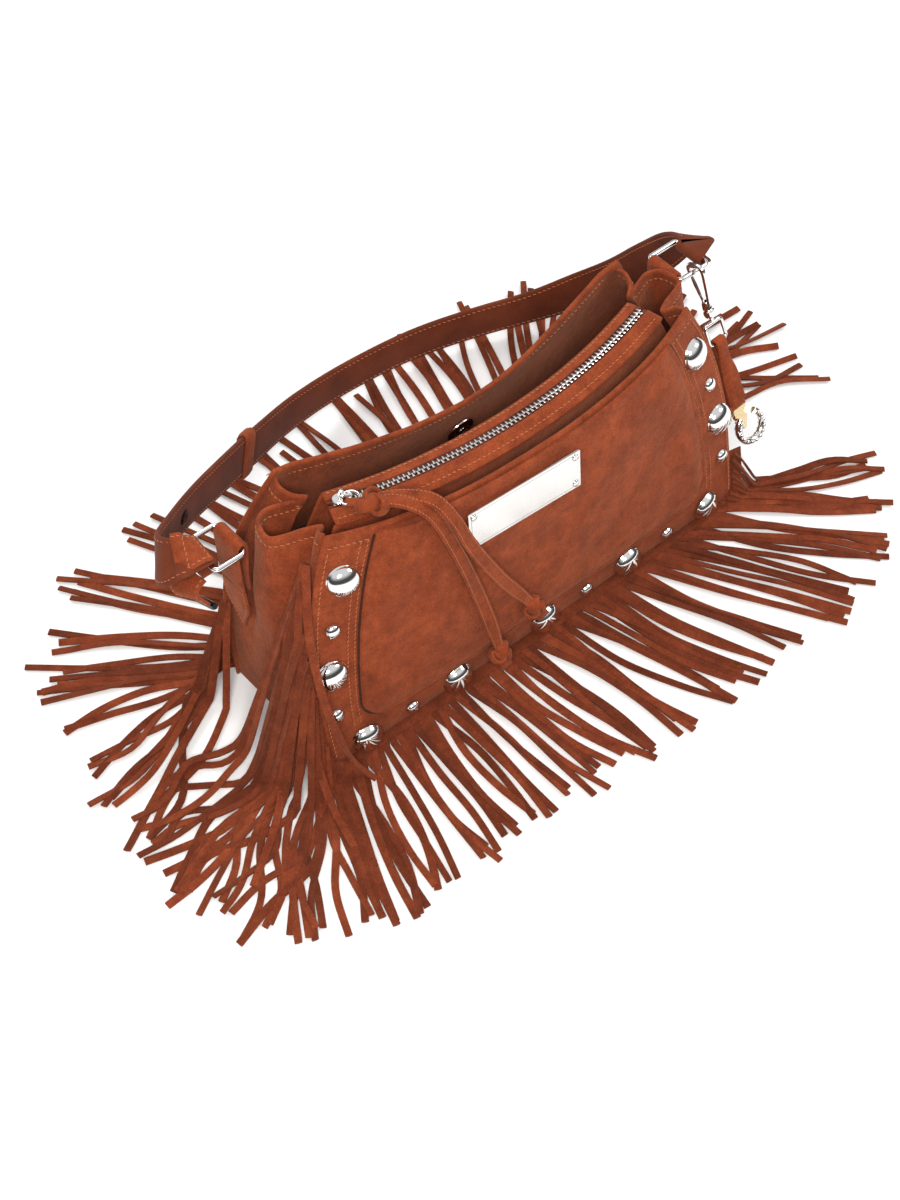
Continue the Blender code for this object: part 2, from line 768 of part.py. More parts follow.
def make_strap():
    """The strap, with its keeper, and the doubled end that wraps each ring's outer bar."""
    points = [Vector(p) * MM for p, _ in STRAP_RUN]
    faces = [Vector(n) for _, n in STRAP_RUN]
    route = smooth_route(points, 3)
    normals = smooth_route(faces, 3)
    loop_r = 3.4 * MM

    narrow = STRAP_WIDTH / 2 - 3 * MM

    def loop(side, outer_x):
        """Stations round the ring's outer bar, from the top layer down and back underneath."""
        made = []
        for k in range(7):
            turn = pi / 2 - pi * k / 6
            out = Vector((-side * cos(turn), 0, sin(turn)))
            centre = Vector((side * outer_x, RING_Y, RING_Z)) + out * loop_r
            made.append((centre, Vector((0, narrow, 0)), out * 0.9 * MM))
        tail = Vector((side * (outer_x + 6 * MM), RING_Y, RING_Z - loop_r - 0.4 * MM))
        made.append((tail, Vector((0, narrow, 0)), Vector((0, 0, -0.9 * MM))))
        return made

    body = []
    count = len(route) - 1
    for k in range(count + 1):
        along = (route[min(k + 1, count)] - route[max(k - 1, 0)]).normalized()
        normal = (normals[k] - along * normals[k].dot(along)).normalized()
        wide = along.cross(normal).normalized()
        width = blend(narrow, STRAP_WIDTH / 2, min(1.0, min(k, count - k) / 4))
        body.append((route[k], wide * width, normal * STRAP_THICK / 2))
    left = list(reversed(loop(-1, LEFT_RING_OUT_X)))
    right = loop(1, RIGHT_RING_OUT_X)
    sections = []

    def ring_of(centre, wide, thick):
        return [centre - wide - thick, centre + wide - thick, centre + wide + thick, centre - wide + thick]

    for centre, wide, thick in left:
        sections.append(ring_of(centre, -wide, thick))
    for centre, wide, thick in body:
        sections.append(ring_of(centre, wide, thick))
    for centre, wide, thick in right:
        sections.append(ring_of(centre, -wide, thick))
    swept("strap", sections, strap_leather())
    return body


def make_strap_trim(body):
    """The keeper loop round the strap, the metal tip of its loose end and a press stud."""
    k = 20
    centre, wide, thick = body[k]
    along = (body[k + 1][0] - body[k - 1][0]).normalized()
    inner_w, inner_t = wide * 1.04, thick * 1.45
    outer_w, outer_t = wide * 1.16, thick * 2.6
    sections = []
    corners = ((-1, -1), (1, -1), (1, 1), (-1, 1))
    for half, w, t in ((-6, outer_w, outer_t), (6, outer_w, outer_t), (6, inner_w, inner_t), (-6, inner_w, inner_t)):
        sections.append([centre + along * half * MM + w * a + t * b for a, b in corners])
    swept("strap_keeper", sections, strap_leather(), closed=True)
    centre, wide, thick = body[14]
    normal = -thick.normalized()
    cap = [(0, 0), (4.6, 0), (4.6, 0.5), (3.2, 0.9), (0, 0.6)]
    cap = [(r * MM, h * MM) for r, h in cap]
    turned("press_stud", cap, 12, dark_steel(), facing(centre + normal * (thick.length + GAP), normal))


def make_strap_tip():
    """The loose end that hangs below the left ring, closed by a metal bar."""
    run = [(-181, 26, 130.6), (-187, 25, 128.5), (-189, 22, 123), (-183, 18, 116)]
    route = smooth_route([Vector(p) * MM for p in run], 2)

    def out(part):
        return blend(Vector((-0.2, 0, 1)), Vector((-0.75, -0.3, -0.6)), part)

    stations = strip_stations(route, 20 * MM, 1.8 * MM, out)
    ribbon("strap_end", stations, suede())
    centre, wide, _ = stations[-1]
    along = (route[-1] - route[-2]).normalized()
    sections = []
    for sign in (-1, 1):
        ring = []
        for k in range(8):
            turn = 2 * pi * k / 8
            side = wide.normalized().cross(along)
            offset = along * cos(turn) * 2.2 * MM + side * sin(turn) * 2.2 * MM
            ring.append(centre + along * 2.8 * MM + wide * sign * 1.06 + offset)
        sections.append(ring)
    swept("strap_end_bar", sections, dark_steel())


# --- Bag charm ---


def charm_frame():
    """At the ring's bar: local X across, local Y towards the bag, local Z down the charm."""
    down = CHARM_LEAN.normalized()
    across = Vector((1, 0, 0))
    across = (across - down * across.dot(down)).normalized()
    inward = down.cross(across)
    turn = Matrix((across, inward, down)).transposed().to_4x4()
    return Matrix.Translation(Vector((HOOK_X, RING_Y - RING_HALF_Y, RING_Z))) @ turn


def make_charm():
    frame = charm_frame()

    def at(x, y, z):
        return frame @ (Vector((x, y, z)) * MM)

    hook = [(-5.8, 2.2), (-5.8, -1.0), (-4.2, -3.1), (0, -3.5), (4.4, -3.1), (6.4, -0.6), (5.2, 9), (3.2, 20), (1.4, 24)]
    route = smooth_route([at(0, y, z) for y, z in hook], 2)
    wire("hook_frame", route, 1.3 * MM, steel(), sides=6)
    gate = [(-5.7, 4.6), (-4.6, 10), (-3.2, 17), (-2.4, 21.5)]
    wire("hook_gate", [at(0, y, z) for y, z in gate], 1.1 * MM, steel(), sides=6)
    neck = [(0, 25.4), (3.0, 25.4), (3.4, 27), (3.4, 30), (2.6, 31.5), (1.5, 31.8), (1.5, 34.0), (0, 34.0)]
    neck = [(r * MM, z * MM) for r, z in neck]
    turned("hook_neck", neck, 12, steel(), frame)
    eye = []
    for x, z, start in ((4.4, 46.6, 0), (-4.4, 46.6, 90), (-4.4, 37.8, 180), (4.4, 37.8, 270)):
        for k in range(3):
            turn = radians(start + 45 * k)
            eye.append(at(x + 2.2 * cos(turn), 0, z + 2.2 * sin(turn)))
    wire("swivel_eye", eye, 1.1 * MM, steel(), closed=True, sides=6)
    fold = [(-2.5 * cos(pi * k / 6), 48.8 - 2.5 * sin(pi * k / 6)) for k in range(7)]
    run = [(-2.0, 96), (-1.9, 80), (-1.9, 66), (-2.1, 54)] + fold + [(1.9, 54), (0.6, 62), (0.5, 70)]
    route = [at(0, y, z) for y, z in run]
    across = (frame.to_3x3() @ Vector((1, 0, 0))) * 4.1 * MM
    stations = []
    for k, point in enumerate(route):
        along = (route[min(k + 1, len(route) - 1)] - route[max(k - 1, 0)]).normalized()
        stations.append((point, across, along.cross(across).normalized() * 0.6 * MM))
    ribbon("charm_strap", stations, suede())
    tip = [(-4.2, 97.2), (4.2, 97.2), (5.2, 103), (0.8, 112), (-0.8, 112), (-5.2, 103)]
    sections = [[at(x, y, z) for x, z in tip] for y in (-4.0, -0.6)]
    swept("charm_tip", sections, gold())
    shoe = []
    for k in range(15):
        turn = radians(-55 + 290 * k / 14)
        shoe.append(at(2.0 + 9.5 * cos(turn), 2.0, 110.5 + 9.5 * sin(turn)))
    wire("charm_horseshoe", shoe, 1.9 * MM, steel(), sides=6)
    flower = [(0, 0), (5.5, 0.2), (6.0, 1.6), (3.0, 3.4), (0, 3.0)]
    flower = [(r * MM, z * MM) for r, z in flower]
    place = frame @ Matrix.Translation(Vector((-7.5, -5.2, 101)) * MM) @ Matrix.Rotation(pi / 2, 4, "X")
    turned("charm_flower", flower, 12, steel(), place)


# --- Fringe ---


def along_line(points, s):
    """The point at share s of a polyline, by its own length."""
    spans = [(b - a).length for a, b in zip(points, points[1:])]
    left = s * sum(spans)
    for k, span in enumerate(spans):
        if left <= span or k == len(spans) - 1:
            return blend(points[k], points[k + 1], min(1.0, left / span))
        left -= span


def fringe(name, seam, fan, floor_fan, strips):
    """A cut fringe: a sewn band along a seam, slit into strips that fall to the floor and fan out.

    seam, floor_fan and fan are polylines for the sewn edge, where the strips reach the floor,
    and their tips.
    """
    bm = bmesh.new()
    columns = []
    for k in range(strips * 2):
        s = (k // 2 + (0.0 if k % 2 == 0 else 1.0 - FRINGE_SLIT)) / (strips - FRINGE_SLIT)
        root = along_line(seam, s)
        foot = along_line(floor_fan, s)
        tip = along_line(fan, s)
        drop = root.z - FLOOR_Z
        band = blend(root, foot, 0.16)
        band.z = root.z - 0.05 * drop
        fall = blend(root, foot, 0.62)
        fall.z = FLOOR_Z + 0.42 * drop
        columns.append([bm.verts.new(p) for p in (root, band, fall, foot, tip)])
    for k in range(len(columns) - 1):
        a, b = columns[k], columns[k + 1]
        rows = len(a) - 1 if k % 2 == 0 else 1
        for j in range(rows):
            bm.faces.new([a[j], a[j + 1], b[j + 1], b[j]])
    bmesh.ops.recalc_face_normals(bm, faces=bm.faces)
    mesh = bpy.data.meshes.new(name)
    bm.to_mesh(mesh)
    bm.free()
    obj = add_object(name, mesh, suede())
    thick = obj.modifiers.new("thickness", "SOLIDIFY")
    thick.thickness = FRINGE_THICK
    thick.offset = 0.0
    return obj


def line(*points):
    return [Vector(p) * MM for p in points]


def make_fringes():
    low = FLOOR_Z / MM
    seam = line(
        (-153, -31, 98), (-158, -35, 70), (-158, -41, 36), (-154, -47, 9), (-144, -47, low + 0.2),
        (144, -47, low + 0.2), (153.5, -46, 9), (156, -41, 30), (155.5, -37, 52),
    )
    foot = line(
        (-176, 2, low), (-180, -16, low), (-180, -36, low), (-170, -54, low), (-150, -62, low),
        (150, -62, low), (162, -58, low), (163, -48, low), (161, -38, low),
    )
    tips = line(
        (-262, 14, low), (-276, -40, low), (-252, -100, low), (-200, -142, low), (-150, -157, low),
        (150, -157, low), (200, -142, low), (250, -100, low), (270, -50, low),
    )
    fringe("front_fringe", seam, tips, foot, 50)
    seam = line(
        (-151, 51, 64), (-154.5, 52, 36), (-153, 51, 9), (-144, 49.5, low + 0.2),
        (144, 49.5, low + 0.2), (153, 51, 9), (154.5, 52, 36), (151, 51, 64),
    )
    foot = line(
        (-176, 30, low), (-180, 42, low), (-172, 56, low), (-150, 63, low),
        (150, 63, low), (172, 56, low), (180, 42, low), (176, 30, low),
    )
    tips = line(
        (-268, 34, low), (-276, 90, low), (-230, 156, low), (-150, 182, low),
        (150, 182, low), (230, 156, low), (276, 90, low), (268, 34, low),
    )
    fringe("back_fringe", seam, tips, foot, 44)


# --- Pivots of the moving pieces ---


def pivot(name, place, children, parent=None):
    """An empty on a joint's axis, with the pieces that turn about it."""
    empty = bpy.data.objects.new(name, None)
    bpy.context.scene.collection.objects.link(empty)
    empty.empty_display_size = 10 * MM
    empty.matrix_world = place
    if parent is not None:
        empty.parent = parent
        empty.matrix_parent_inverse = parent.matrix_world.inverted()
    for child in children:
        obj = bpy.data.objects[child]
        obj.parent = empty
        obj.matrix_parent_inverse = place.inverted()
    return empty


def make_pivots():
    hinge = Matrix.Translation(Vector((0, RING_Y, RING_Z)))
    held = ("strap", "strap_keeper", "strap_end", "strap_end_bar", "press_stud", "ring_left", "ring_right")
    strap = pivot("strap_pivot", hinge, held)
    hook = pivot("hook_pivot", charm_frame(), ("hook_frame", "hook_neck"), strap)
    gate_place = charm_frame() @ Matrix.Translation(Vector((0, -2.4, 21.5)) * MM)
    pivot("gate_pivot", gate_place, ("hook_gate",), hook)
    swivel_place = charm_frame() @ Matrix.Translation(Vector((0, 0, 34)) * MM)
    hung = ("swivel_eye", "charm_strap", "charm_tip", "charm_horseshoe", "charm_flower")
    pivot("swivel_pivot", swivel_place, hung, hook)
    arc = Matrix.Translation(Vector((0, ZIP_CENTRE_Y, ZIP_Z)))
    slider = pivot("zip_pivot", arc, ("zip_slider", "slider_post", "slider_bail", "slider_eye"))
    lift = Matrix.Translation(pull_pivot())
    pivot("pull_pivot", lift, ("pull_ring", "pull_thong", "thong_tail_long", "thong_tail_short"), slider)


def main():
    clear_scene()
    make_base()
    make_front_panel()
    make_front_lining()
    make_front_patch()
    make_back_panel()
    make_back_lining()
    make_gussets()
    make_pouch()
    make_zip()
    make_slider()
    make_pull_ring()
    make_thong()
    make_nameplate()
    make_studs()
    make_magnet()
    make_tabs()
    make_rings()
    body = make_strap()
    make_strap_trim(body)
    make_strap_tip()
    make_charm()
    make_fringes()
    make_pivots()


main()
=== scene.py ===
"""Looks of the fringed suede shoulder bag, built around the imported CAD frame.

Metres, +Z up, the same frame as the CAD: the base lies on Z = 0, the front faces -Y.
"""

import random
from collections import namedtuple
from math import asin, cos, exp, floor, pi, radians, sin, sqrt

import bmesh
import bpy
from mathutils import Matrix, Vector, noise


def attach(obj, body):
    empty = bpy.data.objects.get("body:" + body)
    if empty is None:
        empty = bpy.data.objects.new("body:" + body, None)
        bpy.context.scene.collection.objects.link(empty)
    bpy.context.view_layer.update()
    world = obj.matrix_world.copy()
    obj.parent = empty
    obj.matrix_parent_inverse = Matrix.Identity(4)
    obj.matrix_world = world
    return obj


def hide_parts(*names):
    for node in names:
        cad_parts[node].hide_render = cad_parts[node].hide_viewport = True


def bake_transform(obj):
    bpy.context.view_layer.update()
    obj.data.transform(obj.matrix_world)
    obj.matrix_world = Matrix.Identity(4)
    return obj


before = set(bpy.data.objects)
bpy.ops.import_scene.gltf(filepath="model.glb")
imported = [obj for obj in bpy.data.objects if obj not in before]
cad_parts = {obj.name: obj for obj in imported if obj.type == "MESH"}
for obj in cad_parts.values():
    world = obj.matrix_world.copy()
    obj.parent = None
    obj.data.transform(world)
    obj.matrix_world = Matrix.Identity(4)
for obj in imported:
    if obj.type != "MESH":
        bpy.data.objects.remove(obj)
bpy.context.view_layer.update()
MM = 0.001
UP = Vector((0, 0, 1))

# ---------------------------------------------------------------- sizes, as in the CAD

HALF_WIDTH = 153 * MM
HEIGHT = 158 * MM
HALF_DEPTH = 44 * MM
TOP_NARROWING = 25 * MM
ZIP_HALF_CHORD = 112 * MM
ZIP_BOW = 18 * MM
ZIP_MID_Y = -19 * MM
ZIP_Z = 154.4 * MM
ZIP_RADIUS = (ZIP_HALF_CHORD**2 + ZIP_BOW**2) / (2 * ZIP_BOW)
ZIP_CENTRE_Y = ZIP_MID_Y + ZIP_RADIUS
ZIP_HALF_ANGLE = asin(ZIP_HALF_CHORD / ZIP_RADIUS)
SLIDER_ANGLE = -ZIP_HALF_ANGLE + 0.024
TOOTH_PITCH = 3.0 * MM
STUD_PITCH = 32.5 * MM
RING_Z = 138 * MM
RING_Y = 26 * MM
RING_IN_X = 156 * MM
LEFT_RING_OUT_X = 175 * MM
RIGHT_RING_OUT_X = 178 * MM
RING_HALF_Y = 13 * MM
STRAP_WIDTH = 26 * MM
STRAP_NARROW = STRAP_WIDTH / 2 - 3 * MM
HOOK_X = 168.5 * MM
CHARM_LEAN = Vector((9, -51, -117))
FRONT_HEM = 6.5 * MM
HEM = 6 * MM
GUSSET_HEIGHT = 148 * MM

# ---------------------------------------------------------------- materials


class Nodes:
    """A small helper that adds and links shader nodes."""

    def __init__(self, name):
        self.material = bpy.data.materials.new(name)
        self.material.use_nodes = True
        self.tree = self.material.node_tree
        self.shader = self.tree.nodes["Principled BSDF"]
        self.place = self.add("ShaderNodeTexCoord").outputs["Object"]

    def add(self, kind, **values):
        node = self.tree.nodes.new(kind)
        for key, value in values.items():
            setattr(node, key, value)
        return node

    def link(self, source, target):
        self.tree.links.new(source, target)

    def fill(self, socket, value):
        """Links the socket to a node's output, or gives it a number or a colour."""
        if hasattr(value, "is_linked"):
            self.link(value, socket)
        else:
            socket.default_value = (*value, 1.0) if isinstance(value, tuple) else value

    def wave(self, direction, scale):
        node = self.add("ShaderNodeTexWave", wave_type="BANDS", bands_direction=direction)
        node.inputs["Scale"].default_value = scale
        self.link(self.place, node.inputs["Vector"])
        return node.outputs["Fac"]

    def noise(self, scale, detail=3.0, rough=0.5, place=None):
        node = self.add("ShaderNodeTexNoise")
        node.inputs["Scale"].default_value = scale
        node.inputs["Detail"].default_value = detail
        node.inputs["Roughness"].default_value = rough
        self.link(place or self.place, node.inputs["Vector"])
        return node.outputs["Fac"]

    def ramp(self, source, *stops):
        """Colours, or grey levels, at these places along a ramp."""
        node = self.add("ShaderNodeValToRGB")
        ramp = node.color_ramp
        while len(ramp.elements) < len(stops):
            ramp.elements.new(0.5)
        for element, (at, colour) in zip(ramp.elements, stops):
            element.position = at
            element.color = (*(colour if isinstance(colour, tuple) else (colour,) * 3), 1.0)
        self.link(source, node.inputs["Fac"])
        return node.outputs["Color"]

    def mix(self, a, b, share, mode="MIX"):
        node = self.add("ShaderNodeMix", data_type="RGBA", blend_type=mode)
        for number, value in ((6, a), (7, b), (0, share)):
            self.fill(node.inputs[number], value)
        return node.outputs[2]

    def maths(self, operation, a, b):
        node = self.add("ShaderNodeMath", operation=operation)
        for socket, value in zip(node.inputs, (a, b)):
            self.fill(socket, value)
        return node.outputs[0]

    def bump(self, height, strength, distance, below=None):
        node = self.add("ShaderNodeBump")
        node.inputs["Strength"].default_value = strength
        node.inputs["Distance"].default_value = distance
        self.link(height, node.inputs["Height"])
        if below is not None:
            self.link(below, node.inputs["Normal"])
        return node.outputs["Normal"]

    def colour(self, source):
        self.link(source, self.shader.inputs["Base Color"])

    def normal(self, source):
        self.link(source, self.shader.inputs["Normal"])

    def set(self, **values):
        for key, value in values.items():
            self.shader.inputs[key.replace("_", " ")].default_value = value


def suede_material(name, dark, mid, light, tone=False):
    """Brushed suede: cloudy nap, fine grain and a soft sheen. tone adds a shade held per point."""
    n = Nodes(name)
    grain = n.noise(1500, 2.0, 0.6)
    base = n.ramp(n.noise(58, 6.0, 0.7), (0.26, dark), (0.5, mid), (0.74, light))
    speck = n.ramp(grain, (0.3, (0.62, 0.6, 0.58)), (0.7, (1.32, 1.3, 1.28)))
    streak = n.ramp(n.noise(140, 3.0, 0.7), (0.3, (0.86, 0.85, 0.84)), (0.7, 1.1))
    blotch = n.ramp(n.noise(150, 5.0, 0.75), (0.3, (0.74, 0.7, 0.68)), (0.55, 1.0), (0.78, (1.2, 1.18, 1.15)))
    for layer, share in ((speck, 0.75), (streak, 0.8), (blotch, 0.85)):
        base = n.mix(base, layer, share, "MULTIPLY")
    base = n.mix(base, light, n.ramp(n.noise(820, 1.0, 0.4), (0.66, 0.0), (0.74, 0.5)))
    if tone:
        shade = n.add("ShaderNodeAttribute", attribute_name="tone")
        base = n.mix(base, shade.outputs["Color"], 1.0, "MULTIPLY")
    n.colour(base)
    nap = n.bump(n.noise(330, 4.0, 0.75), 0.6, 0.0012)
    n.normal(n.bump(grain, 0.3, 0.0004, nap))
    n.set(Roughness=0.93, Specular_IOR_Level=0.16, Sheen_Weight=0.16, Sheen_Roughness=0.45)
    n.shader.inputs["Sheen Tint"].default_value = (1.0, 0.55, 0.36, 1.0)
    return n.material


def strap_material():
    """The strap's smoother, darker leather."""
    n = Nodes("strap_brown")
    base = n.ramp(n.noise(40, 4.0, 0.6), (0.3, (0.1, 0.0215, 0.0085)), (0.7, (0.165, 0.036, 0.0135)))
    grain = n.noise(900, 3.0, 0.6)
    n.colour(n.mix(base, n.ramp(grain, (0.3, 0.8), (0.7, 1.15)), 0.7, "MULTIPLY"))
    n.normal(n.bump(grain, 0.25, 0.0003))
    n.set(Roughness=0.88, Specular_IOR_Level=0.12, Sheen_Weight=0.05, Sheen_Roughness=0.5)
    return n.material


def thread_material():
    n = Nodes("thread_rust")
    twist = n.wave("DIAGONAL", 700)
    n.colour(n.ramp(twist, (0.2, (0.3, 0.085, 0.03)), (0.8, (0.5, 0.17, 0.07))))
    n.normal(n.bump(twist, 0.4, 0.0002))
    n.set(Roughness=0.6, Specular_IOR_Level=0.35)
    return n.material


def metal_material(name, colour, rough, worn, uneven=(0.75, 1.5)):
    """Polished metal with faint clouding and fine scratches."""
    n = Nodes(name)
    low = tuple(c * (1 - worn) for c in colour)
    n.colour(n.ramp(n.noise(90, 4.0, 0.6), (0.3, low), (0.7, colour)))
    stretched = n.add("ShaderNodeMapping")
    stretched.inputs["Scale"].default_value = (1.0, 6.0, 1.0)
    n.link(n.place, stretched.inputs["Vector"])
    scratch = n.noise(700, 2.0, 0.5, stretched.outputs["Vector"])
    spread = n.add("ShaderNodeMapRange")
    spread.inputs["To Min"].default_value = rough * uneven[0]
    spread.inputs["To Max"].default_value = rough * uneven[1]
    n.link(scratch, spread.inputs["Value"])
    n.link(spread.outputs["Result"], n.shader.inputs["Roughness"])
    if uneven[1] > 1.2:
        n.normal(n.bump(scratch, 0.02, 0.0001))
    n.set(Metallic=1.0)
    return n.material


def lining_material():
    """Dark woven lining cloth."""
    n = Nodes("lining_dark")
    weave = n.maths("MULTIPLY", n.wave("X", 420), n.wave("Z", 420))
    n.colour(n.ramp(weave, (0.1, (0.006, 0.006, 0.011)), (0.9, (0.028, 0.026, 0.036))))
    n.normal(n.bump(weave, 0.4, 0.0003))
    n.set(Roughness=0.75, Specular_IOR_Level=0.3)
    return n.material


SUEDE = suede_material("suede_rust", (0.15, 0.028, 0.0098), (0.232, 0.0445, 0.0142), (0.315, 0.066, 0.0215))
FRINGE_SUEDE = suede_material(
    "suede_fringe", (0.115, 0.0225, 0.0088), (0.172, 0.034, 0.0122), (0.24, 0.051, 0.0178), tone=True
)
STRAP_BROWN = strap_material()
# Near-black suede, used only for the painted shadow line under the patch's hem.
PAINTED_SHADOW_BROWN = suede_material(
    "suede_painted_shadow", (0.032, 0.0085, 0.004), (0.048, 0.0125, 0.0055), (0.066, 0.017, 0.0075)
)
THREAD = thread_material()
STEEL = metal_material("steel_bright", (0.84, 0.835, 0.825), 0.07, 0.08)
PLATE_STEEL = metal_material("steel_plate", (0.84, 0.83, 0.815), 0.2, 0.05, (0.96, 1.06))
DARK_STEEL = metal_material("steel_dark", (0.1, 0.095, 0.1), 0.24, 0.3)
GOLD = metal_material("metal_gold", (0.83, 0.66, 0.4), 0.24, 0.15)
LINING = lining_material()

# ---------------------------------------------------------------- mesh tools


def blend(a, b, t):
    return a + (b - a) * t


def clamp(value, low=0.0, high=1.0):
    return max(low, min(high, value))


def eased(t):
    t = clamp(t)
    return t * t * (3 - 2 * t)


def bell(x, width):
    return exp(-((x / width) ** 2))


def square_to(vector, line):
    """The unit vector nearest to this one that is square to the line."""
    return (vector - line * vector.dot(line)).normalized()


def in_mm(points):
    return [Vector(p) * MM for p in points]


def rounded(half_x, half_y, corner, steps):
    """(x, y) points round a rectangle with round corners, centred on the origin."""
    found = []
    for x, y, start in ((1, 1, 0), (-1, 1, 90), (-1, -1, 180), (1, -1, 270)):
        for k in range(steps + 1):
            turn = radians(start + 90 * k / steps)
            found.append((x * (half_x - corner) + corner * cos(turn), y * (half_y - corner) + corner * sin(turn)))
    return found


class Shape:
    """Points and faces gathered for one piece."""

    def __init__(self):
        self.points = []
        self.faces = []
        self.tones = []

    def ring_tube(self, sections, closed=False, tone=1.0):
        """Joins sections of equal counts into a closed tube."""
        start, count = len(self.points), len(sections[0])
        for section in sections:
            self.points.extend(section)
        self.tones.extend([tone] * (count * len(sections)))
        spans = len(sections) if closed else len(sections) - 1
        for k in range(spans):
            a = start + k * count
            b = start + ((k + 1) % len(sections)) * count
            for i in range(count):
                j = (i + 1) % count
                self.faces.append((a + i, a + j, b + j, b + i))
        if not closed:
            self.faces.append(tuple(start + i for i in reversed(range(count))))
            last = start + (len(sections) - 1) * count
            self.faces.append(tuple(last + i for i in range(count)))

    def turned(self, profile, segments, place, unit=MM):
        """A solid turned about the place's Z from (radius, height) pairs that start and end on the axis."""
        rings = []
        for radius, height in profile:
            start = len(self.points)
            if radius == 0:
                self.points.append(place @ Vector((0, 0, height * unit)))
                rings.append([start])
                continue
            for k in range(segments):
                turn = 2 * pi * k / segments
                self.points.append(place @ (Vector((radius * cos(turn), radius * sin(turn), height)) * unit))
            rings.append(list(range(start, start + segments)))
        for low, high in zip(rings, rings[1:]):
            for k in range(segments):
                n = (k + 1) % segments
                if len(low) == 1:
                    self.faces.append((low[0], high[n], high[k]))
                elif len(high) == 1:
                    self.faces.append((low[k], low[n], high[0]))
                else:
                    self.faces.append((low[k], low[n], high[n], high[k]))

    def prism(self, outline, low, high, place, bevel=0.0):
        """An upright prism of (x, y) corners between two heights, its edges bevelled, all in millimetres."""
        centre = sum((Vector(p) for p in outline), Vector((0, 0))) / len(outline)
        sections = []
        steps = ((0, low), (0, high))
        if bevel:
            steps = ((bevel, low), (0, low + bevel), (0, high - bevel), (bevel, high))
        for inset, z in steps:
            ring = []
            for p in outline:
                out = Vector(p) - centre
                q = centre + out * (1 - inset / out.length)
                ring.append(place @ (Vector((q.x, q.y, z)) * MM))
            sections.append(ring)
        self.ring_tube(sections)

    def add(self, name, material, body, replaces=(), sharp=40):
        """Makes the object, sends its faces outwards, and rides it on its body."""
        mesh = bpy.data.meshes.new(name)
        mesh.from_pydata([tuple(p) for p in self.points], [], self.faces)
        bm = bmesh.new()
        bm.from_mesh(mesh)
        bmesh.ops.recalc_face_normals(bm, faces=bm.faces)
        bm.to_mesh(mesh)
        bm.free()
        if self.tones and len(self.tones) == len(self.points):
            layer = mesh.attributes.new("tone", "FLOAT_COLOR", "POINT")
            layer.data.foreach_set("color", [c for t in self.tones for c in (t, t, t, 1.0)])
        mesh.shade_smooth()
        if sharp:
            mesh.set_sharp_from_angle(angle=radians(sharp))
        mesh.materials.append(material)
        obj = bpy.data.objects.new(name, mesh)
        bpy.context.scene.collection.objects.link(obj)
        if body:
            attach(obj, body)
        if replaces:
            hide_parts(*replaces)
        return obj


def add_tube(name, sections, material, body, replaces=(), sharp=40, closed=False):
    shape = Shape()
    shape.ring_tube(sections, closed)
    return shape.add(name, material, body, replaces, sharp)


def add_turned(name, profile, segments, place, material, replaces, body="bag", sharp=40, unit=MM):
    shape = Shape()
    shape.turned(profile, segments, place, unit)
    return shape.add(name, material, body, replaces, sharp)


def flipped(surface):
    """The same surface with its sides changed over, so that it faces the other way."""
    return lambda s, t: surface(1 - s, t)


def facing(point, normal, along=None):
    """A frame at point whose Z is the normal, and whose X leans towards along."""
    normal = normal.normalized()
    along = along or (Vector((1, 0, 0)) if abs(normal.x) < 0.9 else Vector((0, 1, 0)))
    x = square_to(along, normal)
    y = normal.cross(x)
    return Matrix.Translation(point) @ Matrix((x, y, normal)).transposed().to_4x4()


def curve_through(points, per_span, closed=False):
    """Points on a Catmull-Rom curve through the given ones."""
    found = []
    if closed:
        ends = [points[-1]] + list(points) + list(points[:2])
    else:
        ends = [points[0] * 2 - points[1]] + list(points) + [points[-1] * 2 - points[-2]]
    for k in range(1, len(ends) - 2):
        a, b, c, d = ends[k - 1 : k + 3]
        for i in range(per_span):
            t = i / per_span
            square, cube = a * 2 - b * 5 + c * 4 - d, b * 3 - a - c * 3 + d
            found.append(0.5 * ((b * 2) + (c - a) * t + square * t * t + cube * t**3))
    if not closed:
        found.append(points[-1].copy())
    return found


def spaced(points, step):
    """Points at an even distance along a route."""
    lengths = [(b - a).length for a, b in zip(points, points[1:])]
    total = sum(lengths)
    count = max(2, round(total / step))
    found, k, done = [], 0, 0.0
    for i in range(count + 1):
        want = total * i / count
        while k < len(lengths) - 1 and done + lengths[k] < want:
            done += lengths[k]
            k += 1
        found.append(blend(points[k], points[k + 1], clamp((want - done) / max(lengths[k], 1e-9))))
    return found


def tangent(route, k, closed=False):
    count = len(route)
    if closed:
        return (route[(k + 1) % count] - route[k - 1]).normalized()
    return (route[min(k + 1, count - 1)] - route[max(k - 1, 0)]).normalized()


def wire_sections(route, radius, sides=14, closed=False):
    """Round sections along a route; radius may be a function of the share along it."""
    sections, normal = [], None
    for k, point in enumerate(route):
        along = tangent(route, k, closed)
        if normal is None:
            normal = along.orthogonal().normalized()
        normal = square_to(normal, along)
        other = along.cross(normal)
        r = radius(k / (len(route) - 1)) if callable(radius) else radius
        turns = [2 * pi * i / sides for i in range(sides)]
        sections.append([point + (normal * cos(a) + other * sin(a)) * r for a in turns])
    return sections


def band_section(centre, wide, thick, round_share=0.5, sides=4):
    """A flat strip's section with rounded edges: wide and thick are half vectors."""
    ring = []
    r = thick.length * round_share * 2
    flat = max(wide.length - r, 1e-6)
    w, t = wide.normalized(), thick.normalized()
    for sign in (1, -1):
        for k in range(sides + 1):
            turn = -pi / 2 + pi * k / sides
            ring.append(centre + (w * (flat + r * cos(turn)) + t * thick.length * sin(turn)) * sign)
    return ring


